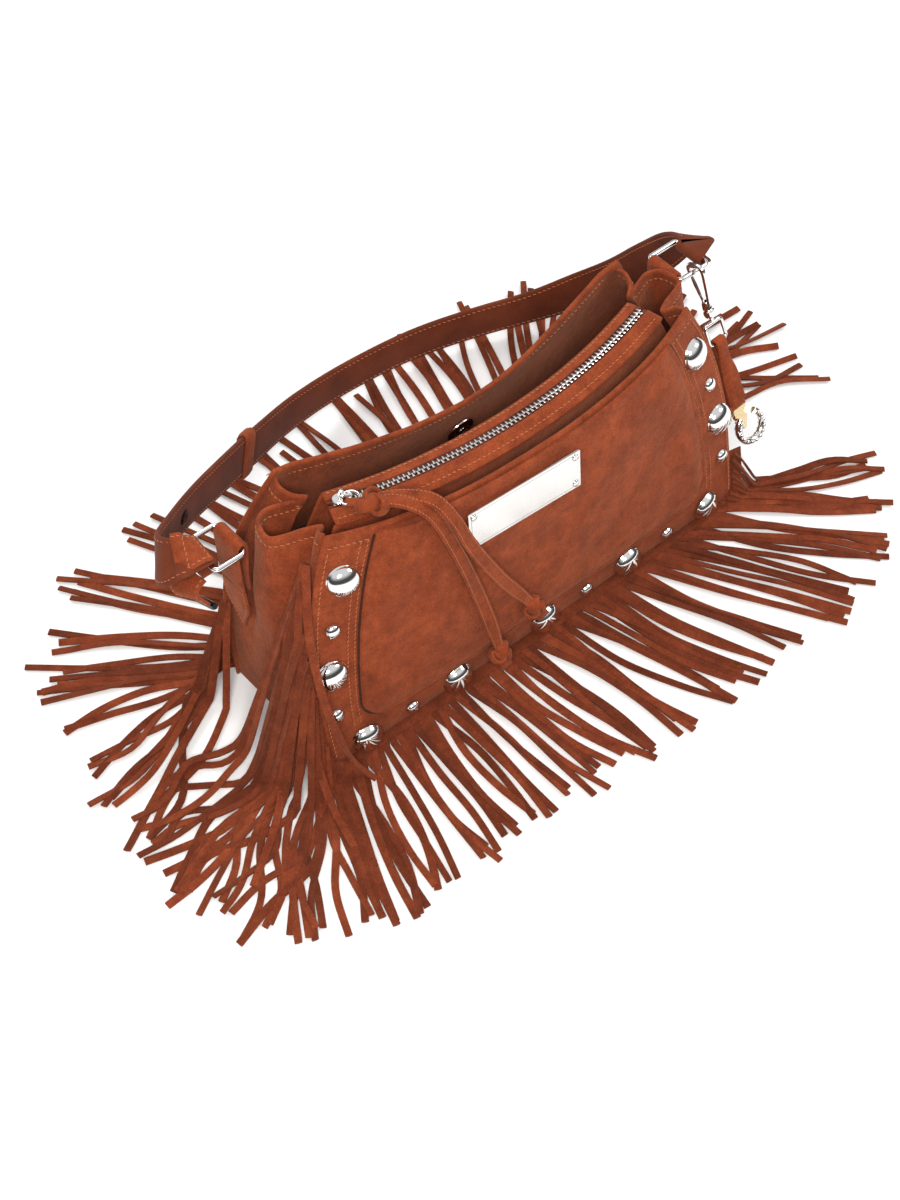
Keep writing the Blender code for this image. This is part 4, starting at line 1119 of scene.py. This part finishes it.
# The strap's middle line and the way its outer face looks, left ring to right ring.
STRAP_RUN = [
    ((-180, 26, 141.4), (0, 0, 1)),
    ((-186, 29, 141), (-0.2, 0.0, 1)),
    ((-191, 37, 136), (-0.75, 0.0, 0.7)),
    ((-187, 50, 127), (-0.95, 0.1, 0.35)),
    ((-171, 67, 115), (-0.7, 0.6, 0.2)),
    ((-140, 90, 97), (-0.55, 0.75, 0.1)),
    ((-104, 112, 78), (-0.55, 0.8, 0.05)),
    ((-64, 136, 56), (-0.5, 0.85, 0.0)),
    ((-22, 158, 36), (-0.35, 0.93, 0.0)),
    ((26, 171, 22), (-0.1, 1.0, 0.0)),
    ((78, 170, 18), (0.15, 1.0, 0.0)),
    ((122, 159, 18), (0.35, 0.9, 0.0)),
    ((160, 142, 22), (0.6, 0.75, 0.0)),
    ((180, 119, 40), (0.9, 0.4, 0.0)),
    ((187, 93, 66), (1.0, 0.15, 0.1)),
    ((190, 69, 96), (0.95, 0.1, 0.3)),
    ((190.5, 49, 123), (0.7, 0.2, 0.65)),
    ((188, 36, 136.5), (0.35, 0.1, 0.9)),
    ((183.4, 26, 141.4), (0, 0, 1)),
]


def ring_turn(side, outer_x):
    """The strap's sections round a ring's outer bar, from above it to just past it below."""
    loop_r = 3.3 * MM
    wide = Vector((0, side * STRAP_NARROW, 0))
    made = []
    for k in range(13):
        turn = pi / 2 - pi * k / 12
        out = Vector((-side * cos(turn), 0, sin(turn)))
        made.append((Vector((side * outer_x, RING_Y, RING_Z)) + out * loop_r, wide, out * 1.1 * MM))
    tail = Vector((side * (outer_x + 6 * MM), RING_Y, RING_Z - loop_r - 0.3 * MM))
    made.append((tail, wide, Vector((0, 0, -1.1 * MM))))
    return made


def strap_stations():
    """The strap's (centre, half width, half thickness) between its rings."""
    route = curve_through(in_mm(p for p, _ in STRAP_RUN), 12)
    normals = curve_through([Vector(n) for _, n in STRAP_RUN], 12)
    count = len(route) - 1
    body = []
    for k in range(count + 1):
        line = tangent(route, k)
        normal = square_to(normals[k], line)
        half = blend(STRAP_NARROW, STRAP_WIDTH / 2, clamp(min(k / 16, (count - k) / 40)))
        body.append((route[k], line.cross(normal).normalized() * half, normal * 1.35 * MM))
    return body


def make_strap(body):
    left = ring_turn(-1, LEFT_RING_OUT_X)[::-1]
    right = ring_turn(1, RIGHT_RING_OUT_X)
    sign_left = 1 if left[-1][1].dot(body[0][1]) > 0 else -1
    sign_right = 1 if right[0][1].dot(body[-1][1]) > 0 else -1
    stations = [(c, w * sign_left, t) for c, w, t in left[:-1]]
    stations += body[2:-2]
    stations += [(c, w * sign_right, t) for c, w, t in right[1:]]
    sections = [band_section(c, w, t, 0.5, 4) for c, w, t in stations]
    add_tube("strap_band", sections, STRAP_BROWN, "strap", ("strap",), sharp=0)
    thread = Shape()
    sewn = body[8:-8]
    for sign in (1, -1):
        for face in (1, -1):
            line = [c + w * (1 - 2.6 * MM / w.length) * sign + t * 1.02 * face for c, w, t in sewn]
            stitches(thread, line, [t * face for _, _, t in sewn], 3.4 * MM, 2.5 * MM, 0.34 * MM)
    thread.add("strap_stitches", THREAD, "strap", sharp=0)


def make_strap_trim(body):
    """The keeper loop and the press stud, each at one place along the strap."""
    keeper_at, press_stud_at = 80, 56
    centre, wide, thick = body[keeper_at]
    line = (body[keeper_at + 1][0] - body[keeper_at - 1][0]).normalized()
    outline = ((-6.2, 1.05, 1.6), (-6.2, 1.13, 2.6), (-4, 1.15, 2.85))
    outline += tuple((-half, grow, lift) for half, grow, lift in reversed(outline))
    sections = [band_section(centre + line * half * MM, wide * grow, thick * lift) for half, grow, lift in outline]
    add_tube("strap_keeper_loop", sections, SUEDE, "strap", ("strap_keeper",), sharp=50, closed=True)
    centre, wide, thick = body[press_stud_at]
    normal = -thick.normalized()
    cap = [(0, 0), (4.6, 0), (4.7, 0.3), (4.2, 0.75), (3.2, 0.95), (2.6, 0.8), (0, 0.6)]
    place = facing(centre + normal * (thick.length + 0.3 * MM), normal)
    add_turned("press_stud_metal", cap, 30, place, DARK_STEEL, ("press_stud",), "strap")


def make_strap_end():
    """The loose end folded under the left ring, closed by a dark metal bar."""
    route = curve_through(in_mm([(-181, 26, 130.6), (-187, 25, 128.5), (-189, 22, 123), (-183, 18, 116)]), 8)
    stations = []
    for k, point in enumerate(route):
        line = tangent(route, k)
        out = square_to(blend(Vector((-0.2, 0, 1)), Vector((-0.75, -0.3, -0.6)), k / (len(route) - 1)), line)
        stations.append(Station(point, line.cross(out).normalized(), out, 10 * MM, 0.95 * MM))
    add_tube("strap_end_suede", band_along(stations), SUEDE, "strap", ("strap_end",), sharp=0)
    thread = Shape()
    sew_edges(thread, stations, 2 * MM, 1.0 * MM)
    thread.add("strap_end_stitches", THREAD, "strap", sharp=0)
    centre = route[-1] + (route[-1] - route[-2]).normalized() * 2.6 * MM
    bar = [centre + stations[-1].across * (10.6 * MM * k / 10) for k in range(-10, 11)]
    sections = wire_sections(bar, lambda s: 2.1 * MM * (0.75 + 0.25 * clamp(min(s, 1 - s) * 12)), 18)
    add_tube("strap_end_bar_metal", sections, DARK_STEEL, "strap", ("strap_end_bar",), sharp=50)


def make_strap_cover():
    """The sewn suede cover over the strap's fold at the left ring."""
    run = [(-172.6, 26.5, 143.2), (-177, 27, 144.9), (-182, 28.5, 145.0), (-187, 32.5, 142.8)]
    route = curve_through(in_mm(run), 8)
    last = len(route) - 1
    stations = []
    for k, point in enumerate(route):
        line = tangent(route, k)
        out = square_to(blend(Vector((0.15, 0, 1)), Vector((-0.85, 0.05, 0.55)), eased(k / last)), line)
        half = blend(10.2, 11.6, k / last) * MM
        stations.append(Station(point, line.cross(out).normalized(), out, half, 1.0 * MM))
    add_tube("strap_cover_suede", band_along(stations), SUEDE, "strap", sharp=0)
    thread = Shape()
    sew_edges(thread, stations, 2.0 * MM, 1.05 * MM)
    for place in (stations[3], stations[last - 8]):
        reach = place.across * (place.half - 2.0 * MM)
        cross = [place.point + place.out * 1.05 * MM + reach * (1 - i / 5) for i in range(11)]
        stitches(thread, cross, place.out)
    thread.add("strap_cover_stitches", THREAD, "strap", sharp=0)


# ---------------------------------------------------------------- charm


def charm_frame():
    return facing(Vector((HOOK_X, RING_Y - RING_HALF_Y, RING_Z)), CHARM_LEAN)


def make_hook(place, at):
    """The hook's frame, its sprung gate, the neck it turns in and the eye below."""
    frame_run = [(-5.8, 2.2), (-5.8, -1.0), (-4.2, -3.1), (0, -3.5), (4.4, -3.1), (6.4, -0.6), (5.2, 9), (3.2, 20),
                 (1.4, 24)]
    route = curve_through([at(0, y, z) for y, z in frame_run], 8)
    sections = wire_sections(route, lambda s: (1.35 + 0.5 * bell(s - 0.45, 0.3)) * MM, 14)
    add_tube("hook_frame_metal", sections, STEEL, "hook", ("hook_frame",))
    route = curve_through([at(0, y, z) for y, z in ((-5.7, 4.4), (-4.6, 10), (-3.2, 17), (-2.4, 21.5))], 8)
    sections = wire_sections(route, lambda s: (0.8 + 0.35 * sin(pi * clamp(s * 1.3))) * MM, 12)
    add_tube("hook_gate_metal", sections, STEEL, "gate", ("hook_gate",))
    neck = [(0, 20.5), (2.2, 20.8), (3.0, 22.6), (3.2, 25.4), (2.5, 26.2), (3.5, 27.0), (3.6, 29.6), (2.9, 31.2),
            (1.5, 31.8), (1.5, 34.0), (0, 34.2)]
    add_turned("hook_neck_metal", neck, 28, place, STEEL, ("hook_neck",), "hook")
    route = [at(x, 0, 42.2 + z) for x, z in rounded(6.6, 6.6, 2.2, 6)]
    sections = wire_sections(route, 1.15 * MM, 14, True)
    add_tube("swivel_eye_metal", sections, STEEL, "charm", ("swivel_eye",), sharp=0, closed=True)


def make_charm_strap(place, at):
    """A suede strap folded through the eye: its long front part is sewn along both edges."""
    fold = [(-2.4 * cos(pi * k / 10), 48.8 - 2.4 * sin(pi * k / 10)) for k in range(11)]
    run = [(-2.0, 97), (-1.9, 80), (-1.9, 66), (-2.1, 54)] + fold + [(1.7, 54), (0.5, 62), (0.4, 74), (0.3, 92)]
    route = spaced(curve_through([at(0, y, z) for y, z in run], 8), 1.2 * MM)
    across = place.to_3x3() @ Vector((1, 0, 0))
    stations = []
    for k, point in enumerate(route):
        out = tangent(route, k).cross(across).normalized()
        depth = (place.inverted() @ point).z / MM
        half = (4.0 + 2.6 * eased((depth - 54) / 24)) * MM
        stations.append(Station(point, across, out, half, 0.75 * MM))
    uneven = [p._replace(point=p.point + across * ruffle(p.point, 80, 0.6 * MM)) for p in stations]
    add_tube("charm_strap_suede", band_along(uneven), SUEDE, "charm", ("charm_strap",), sharp=0)
    thread = Shape()
    front = [p for k, p in enumerate(stations) if k < len(stations) * 0.42]
    sew_edges(thread, front, 1.2 * MM, 0.8 * MM, 2.4 * MM, 1.8 * MM, 0.26 * MM, face=-1)
    thread.add("charm_strap_stitches", THREAD, "charm", sharp=0)


def make_charm_end(place, at):
    """The gold tip, a horseshoe with two rows of beads, and a small flower."""
    ahead = place.to_3x3() @ Vector((0, -1, 0))
    shape = Shape()
    right = [(4.6, 96.0), (5.4, 98.5), (5.0, 103), (0.9, 112)]
    outline = right + [(-x, z) for x, z in reversed(right)]
    shape.prism(outline, 0.5, 3.9, place @ Matrix.Rotation(pi / 2, 4, "X"), 0.5)
    grain = [(0, 0), (0.75, 0), (0.6, 0.35), (0, 0.6)]
    for row in range(4):
        for k in range(-2, 3):
            if abs(k) * 2.1 <= 4.4 - row * 0.8:
                shape.turned(grain, 8, facing(at(k * 1.9, -3.9, 98.2 + row * 2.4), ahead))
    shape.add("charm_tip_metal", GOLD, "charm", ("charm_tip",), sharp=40)

    def on_shoe(k, y):
        turn = radians(-55 + 290 * k / 40)
        return at(2.0 + 9.5 * cos(turn), y, 110.5 + 9.5 * sin(turn))

    shape = Shape()
    shape.ring_tube(wire_sections([on_shoe(k, 2.0) for k in range(41)], 2.3 * MM, 12))
    bead = [(0, -1.3)] + [(1.3 * sin(pi * i / 6), -1.3 * cos(pi * i / 6)) for i in range(1, 6)] + [(0, 1.3)]
    for k in range(2, 39, 3):
        for y in (4.1, -0.1):
            shape.turned(bead, 10, facing(on_shoe(k, y), UP))
    shape.add("charm_horseshoe_metal", STEEL, "charm", ("charm_horseshoe",), sharp=50)
    shape = Shape()
    spot = facing(at(-7.5, -5.2, 101), ahead)
    petal = [(0, -0.4), (1.9, 0), (2.2, 0.5), (1.7, 1.3), (0.8, 1.8), (0, 1.9)]
    for k in range(6):
        out = Vector((cos(2 * pi * k / 6), sin(2 * pi * k / 6), 0)) * 3.6 * MM
        shape.turned(petal, 12, spot @ Matrix.Translation(out))
    shape.turned([(0, -0.6), (2.4, 0), (2.6, 1.0), (1.9, 2.3), (0.9, 2.9), (0, 3.0)], 16, spot)
    shape.add("charm_flower_metal", STEEL, "charm", ("charm_flower",), sharp=50)


def make_charm():
    place = charm_frame()

    def at(x, y, z):
        return place @ (Vector((x, y, z)) * MM)

    make_hook(place, at)
    make_charm_strap(place, at)
    make_charm_end(place, at)


# ---------------------------------------------------------------- fringe


def along_line(points, s):
    spans = [(b - a).length for a, b in zip(points, points[1:])]
    left = clamp(s) * sum(spans)
    for k, span in enumerate(spans):
        if left <= span or k == len(spans) - 1:
            return blend(points[k], points[k + 1], min(1.0, left / span))
        left -= span


def strip_route(root, out, tip, sway, bow, lift):
    """A strip's middle line: it falls from the seam in a slant, then runs flat on the floor to its tip."""
    flat_root, flat_tip = Vector((root.x, root.y, 0)), Vector((tip.x, tip.y, 0))
    way = flat_tip - flat_root
    side = Vector((-way.y, way.x, 0)).normalized()
    height = root.z
    ahead = (way.normalized() * 0.75 + out * 0.5).normalized()
    touch = flat_root + ahead * (0.36 * height + 9 * MM) + side * sway * clamp(height / (60 * MM), 0.25, 1.0)
    points = [root]
    for reach, left in ((0.276, 0.72), (0.5704, 0.36), (0.7912, 0.1)):
        points.append(blend(flat_root, touch, reach) + UP * height * left)
    points.append(touch + UP * lift * 0.5)
    for t in (0.34, 0.68, 1.0):
        point = blend(touch, flat_tip, t)
        point += side * (bow * sin(pi * t) + sway * 0.35 * sin(2 * pi * t))
        point.z = lift * (0.5 + 0.5 * cos(t * 5 + bow * 500)) * (1 - 0.5 * t)
        points.append(point)
    return curve_through(points, 6)


def add_strip(shape, route, width, thick, roll, tone, start_side):
    route = spaced(route, 5.0 * MM)
    last = len(route) - 1
    sections = []
    side = start_side
    for k, point in enumerate(route):
        t = k / last
        line = tangent(route, k)
        level = Vector((line.y, -line.x, 0))
        if level.length > 0.25:
            level.normalize()
            if level.dot(side) < 0:
                level = -level
            side = (side * 0.5 + level * 0.5).normalized()
        side = square_to(side, line)
        normal = line.cross(side).normalized()
        turn = roll[0] * sin(t * roll[1] + roll[2]) * clamp(t * 3)
        wide = side * cos(turn) + normal * sin(turn)
        face = line.cross(wide).normalized()
        half = width / 2 * (1 - 0.1 * t)
        rise = abs(wide.z) * half + thick * 0.5
        centre = Vector((point.x, point.y, max(point.z, rise + 0.25 * MM)))
        w, n = wide * half, face * thick / 2
        sections.append([centre - w - n * 0.7, centre - n, centre + w - n * 0.7,
                         centre + w + n * 0.7, centre + n, centre - w + n * 0.7])
    shape.ring_tube(sections, tone=tone)


def make_fringe(name, node, seam, tips, outs, count, seed, strays=()):
    """One row of cut strips; neighbours bunch together, and the ones that fall from high cross over."""
    rng = random.Random(seed)
    shape = Shape()
    bunch = 0
    while bunch < count:
        size = rng.choice((2, 3, 4, 5, 7))
        members = range(bunch, min(bunch + size, count))
        pull = rng.uniform(0.15, 0.7)
        drift = rng.uniform(-0.011, 0.011)
        middle = (bunch + len(members) / 2) / count
        bunch += size
        for k in members:
            s = (k + 0.5) / count
            root = along_line(seam, s)
            high = eased(root.z / (60 * MM))
            cross = rng.uniform(-1, 1) * blend(0.006, 0.03, high)
            tip = along_line(tips, s + (middle - s) * pull + drift + cross)
            out = along_line(outs, s).normalized()
            reach = rng.uniform(0.86, 1.03)
            flat_root = Vector((root.x, root.y, 0))
            tip = flat_root + (Vector((tip.x, tip.y, 0)) - flat_root) * reach
            root = root + out * rng.uniform(-0.4, 0.8) * MM * (1 + 2 * high)
            sway = rng.uniform(-1, 1) * blend(3, 15, high) * MM
            bow = rng.uniform(-1, 1) * blend(7, 12, high) * MM
            lift = (0.3 + 4.5 * rng.random() ** 2) * MM * (1 + high)
            route = strip_route(root, out, tip, sway, bow, lift)
            roll = (rng.uniform(0.02, 0.4) + 0.5 * high * rng.random(), rng.uniform(1.5, 4.5), rng.uniform(0, 6))
            along_seam = along_line(seam, min(s + 0.004, 1)) - along_line(seam, max(s - 0.004, 0))
            tone = rng.uniform(0.66, 1.16)
            add_strip(shape, route, rng.uniform(3.9, 4.8) * MM, 1.5 * MM, roll, tone, along_seam.normalized())
    steps = 150
    band = []
    for k in range(steps + 1):
        s = k / steps
        root, out = along_line(seam, s), along_line(outs, s).normalized()
        if root.z > 56 * MM:
            continue
        centre = root + out * 1.0 * MM
        centre.z = max(centre.z, 2.3 * MM)
        band.append(band_section(centre, out * 5.0 * MM, Vector((0, 0, 0.7 * MM)), 0.5, 2))
    # The seam band's darker tone (0.8) is painted shade along the seam, between the panel's bottom and the strips.
    shape.ring_tube(band, tone=0.8)
    for route in strays:
        route = curve_through(route, 8)
        add_strip(shape, route, 4.6 * MM, 1.5 * MM, (0.3, 3.0, 1.0), 1.1, Vector((0, -1, 0)))
    shape.add(name, FRINGE_SUEDE, "bag", (node,), sharp=60)


def make_fringes():
    low = 3.0
    seam = in_mm([
        (-137, -14, 139), (-146, -22, 116), (-153.5, -31, 90), (-156, -36, 66), (-157, -41, 36), (-154, -45.5, 10),
        (-144, -45.5, low), (144, -45.5, low), (153.5, -45, 9), (156, -42, 22), (156, -40, 38),
    ])
    tips = in_mm([
        (-250, 6, 0), (-268, -24, 0), (-274, -48, 0), (-262, -72, 0), (-256, -100, 0), (-238, -124, 0),
        (-192, -148, 0), (148, -158, 0), (198, -136, 0), (226, -108, 0), (258, -74, 0),
    ])
    outs = in_mm([
        (-1, 0.2, 0), (-1, 0.1, 0), (-1, 0, 0), (-1, -0.1, 0), (-1, -0.3, 0), (-0.7, -0.7, 0), (0, -1, 0),
        (0, -1, 0), (0.7, -0.7, 0), (1, -0.3, 0), (1, -0.2, 0),
    ])
    strays = [
        in_mm(run)
        for run in (
            ((-138, -15, 139), (-151, -31, 112), (-156, -44, 78), (-153, -51, 44), (-146, -56, 14), (-140, -66, 4)),
            ((-138, -13, 138), (-153, -24, 104), (-161, -36, 62), (-166, -50, 24), (-170, -66, 5), (-176, -92, 2)),
            ((-138, -13, 138), (-154, -16, 100), (-166, -24, 56), (-178, -34, 16), (-198, -52, 4), (-232, -76, 2)),
        )
    ]
    make_fringe("front_fringe_strips", "front_fringe", seam, tips, outs, 116, 5, strays)
    seam = in_mm([
        (-150, 47, 72), (-153, 49, 52), (-154.5, 50, 34), (-153, 50, 9), (-144, 48, low),
        (-50, 48, low), (50, 48, low), (144, 48, low), (153, 50, 9), (154.5, 50, 34), (153, 49, 52), (150, 47, 72),
    ])
    tips = in_mm([
        (-272, -24, 0), (-268, 22, 0), (-258, 66, 0), (-236, 134, 0), (-172, 178, 0),
        (-56, 176, 0), (64, 194, 0), (180, 186, 0), (236, 140, 0), (276, 70, 0), (284, 32, 0), (270, -14, 0),
    ])
    outs = in_mm([
        (-1, -0.3, 0), (-1, 0, 0), (-1, 0.2, 0), (-0.7, 0.7, 0), (0, 1, 0),
        (0, 1, 0), (0, 1, 0), (0, 1, 0), (0.7, 0.7, 0), (1, 0.2, 0), (1, 0, 0), (1, -0.3, 0),
    ])
    make_fringe("back_fringe_strips", "back_fringe", seam, tips, outs, 96, 8)


# ---------------------------------------------------------------- seams


def sew_front(thread):
    """Both sides of the front: along the hem, up the outer edge, and twice beside the patch."""
    shares = [k / 60 for k in range(61)]

    def sew(places, lift, look, *sizes):
        line = [front_point(u, v) + front_normal(u, min(v, 0.97)) * lift for u, v in places]
        stitches(thread, line, look, *sizes)

    for side in (-1, 1):
        look = Vector((side * 0.35, -1, 0))
        hem = [(side * blend(0.815, 0.985, k), 1 - FRONT_HEM / HEIGHT) for k in shares]
        sew(hem, 0.85 * MM, Vector((0, -1, 0.1)))
        heights = [blend(0.06, 0.945, k) for k in shares]
        sew([(side * (1 - 3.2 * MM / half_width(v)), v) for v in heights], 0.85 * MM, look)
        for gap in (2.2 * MM, 6.2 * MM):
            beside = []
            for k in shares:
                t = 0.97 * k
                v = blend(PATCH_LOW, PATCH_TOP, t)
                beside.append((side * (patch_u(1.0, max(t, PATCH_CORNER)) + gap / half_width(v)), v))
            sew(beside, 0.75 * MM, look, 3.0 * MM, 2.1 * MM, 0.32 * MM)


def sew_gusset(thread, side, surface):
    """Along a gusset's top hem, on both of its faces."""
    t, step = 1 - HEM / GUSSET_HEIGHT, 0.004
    for face in (1, -1):
        line, looks = [], []
        for k in range(3, 158):
            s = k / 160
            across = surface(s + step, t) - surface(s - step, t)
            rise = surface(s, t + step) - surface(s, t - step)
            looks.append(across.cross(rise).normalized() * side * face)
            line.append(surface(s, t) + looks[-1] * 1.3 * MM)
        stitches(thread, line, looks)


def make_body_stitches():
    thread = Shape()
    sew_front(thread)
    for inward, y in ((2.65 * MM, -1), (-0.65 * MM, 1)):
        line = [back_point(2 * k / 160 - 1, 1 - HEM / HEIGHT, inward) for k in range(3, 158)]
        stitches(thread, line, Vector((0, y, 0)))
    for side, surface in GUSSETS.items():
        sew_gusset(thread, side, surface)
    for outward, height in ((-7.6, 0.8), (9.6, -1.35)):
        angles = [blend(-1, 1, k / 90) * ZIP_HALF_ANGLE * 0.985 for k in range(91)]
        stitches(thread, [zip_point(a, outward * MM, ZIP_Z + height * MM) for a in angles], UP)
    thread.add("body_stitches", THREAD, "bag", sharp=0)


# ---------------------------------------------------------------- stage


def make_stage():
    shape = Shape()
    shape.points = [Vector(p) for p in ((-6, -6, -0.0004), (6, -6, -0.0004), (6, 6, -0.0004), (-6, 6, -0.0004))]
    shape.faces = [(0, 1, 2, 3)]
    n = Nodes("floor_white")
    n.colour(n.ramp(n.noise(3, 2.0), (0.3, 0.86), (0.7, 0.88)))
    n.set(Roughness=0.9, Specular_IOR_Level=0.1)
    ground = shape.add("floor", n.material, None, sharp=0)

    world = bpy.data.worlds.new("studio")
    world.use_nodes = True
    tree = world.node_tree
    sky = tree.nodes.new("ShaderNodeTexCoord").outputs["Generated"]
    height = tree.nodes.new("ShaderNodeSeparateXYZ")
    tree.links.new(sky, height.inputs[0])
    fade = tree.nodes.new("ShaderNodeValToRGB")
    for element, (at, level) in zip(fade.color_ramp.elements, ((0.3, 0.1), (0.62, 1.0))):
        element.position = at
        element.color = (level, level, level * 0.99, 1.0)
    tree.links.new(height.outputs["Z"], fade.inputs["Fac"])
    background = tree.nodes["Background"]
    tree.links.new(fade.outputs["Color"], background.inputs["Color"])
    background.inputs["Strength"].default_value = 0.8
    bpy.context.scene.world = world
    bpy.context.scene.view_settings.view_transform = "Standard"

    for place, size, power, tint in (
        ((-0.9, -1.0, 1.5), 0.6, 33, (1.0, 0.98, 0.95)),
        ((1.1, -0.5, 1.2), 0.6, 8, (0.98, 0.99, 1.0)),
        ((0.1, 1.2, 1.4), 0.8, 9, (1.0, 1.0, 1.0)),
    ):
        light = bpy.data.lights.new("softbox", "AREA")
        light.size = size
        light.energy = power
        light.color = tint
        lamp = bpy.data.objects.new("softbox", light)
        lamp.location = place
        lamp.rotation_mode = "QUATERNION"
        lamp.rotation_quaternion = (Vector(place) - Vector((0, 0, 0.08))).to_track_quat("Z", "Y")
        bpy.context.scene.collection.objects.link(lamp)


def make_camera():
    target = Vector((13, 2, 10)) * MM
    turn, rise, distance = radians(-41), radians(50), 1.4
    back = Vector((sin(turn) * cos(rise), -cos(turn) * cos(rise), sin(rise)))
    camera = bpy.data.cameras.new("camera")
    camera.lens = 71.4
    camera.shift_x = -0.0458
    camera.shift_y = -0.0333
    camera.clip_start = 0.05
    holder = bpy.data.objects.new("camera", camera)
    holder.location = target + back * distance
    holder.rotation_mode = "QUATERNION"
    holder.rotation_quaternion = (-back).to_track_quat("-Z", "Y")
    bpy.context.scene.collection.objects.link(holder)
    bpy.context.scene.camera = holder


def main():
    make_camera()
    make_stage()
    make_base()
    make_front()
    make_patch()
    make_patch_shadow_line()
    make_back()
    make_linings()
    make_gussets()
    make_pouch()
    make_zip()
    make_slider()
    make_pull_ring()
    make_thong()
    make_plate()
    make_studs()
    make_magnet()
    make_rings()
    make_tabs()
    strap = strap_stations()
    make_strap(strap)
    make_strap_trim(strap)
    make_strap_end()
    make_strap_cover()
    make_charm()
    make_fringes()
    make_body_stitches()


main()
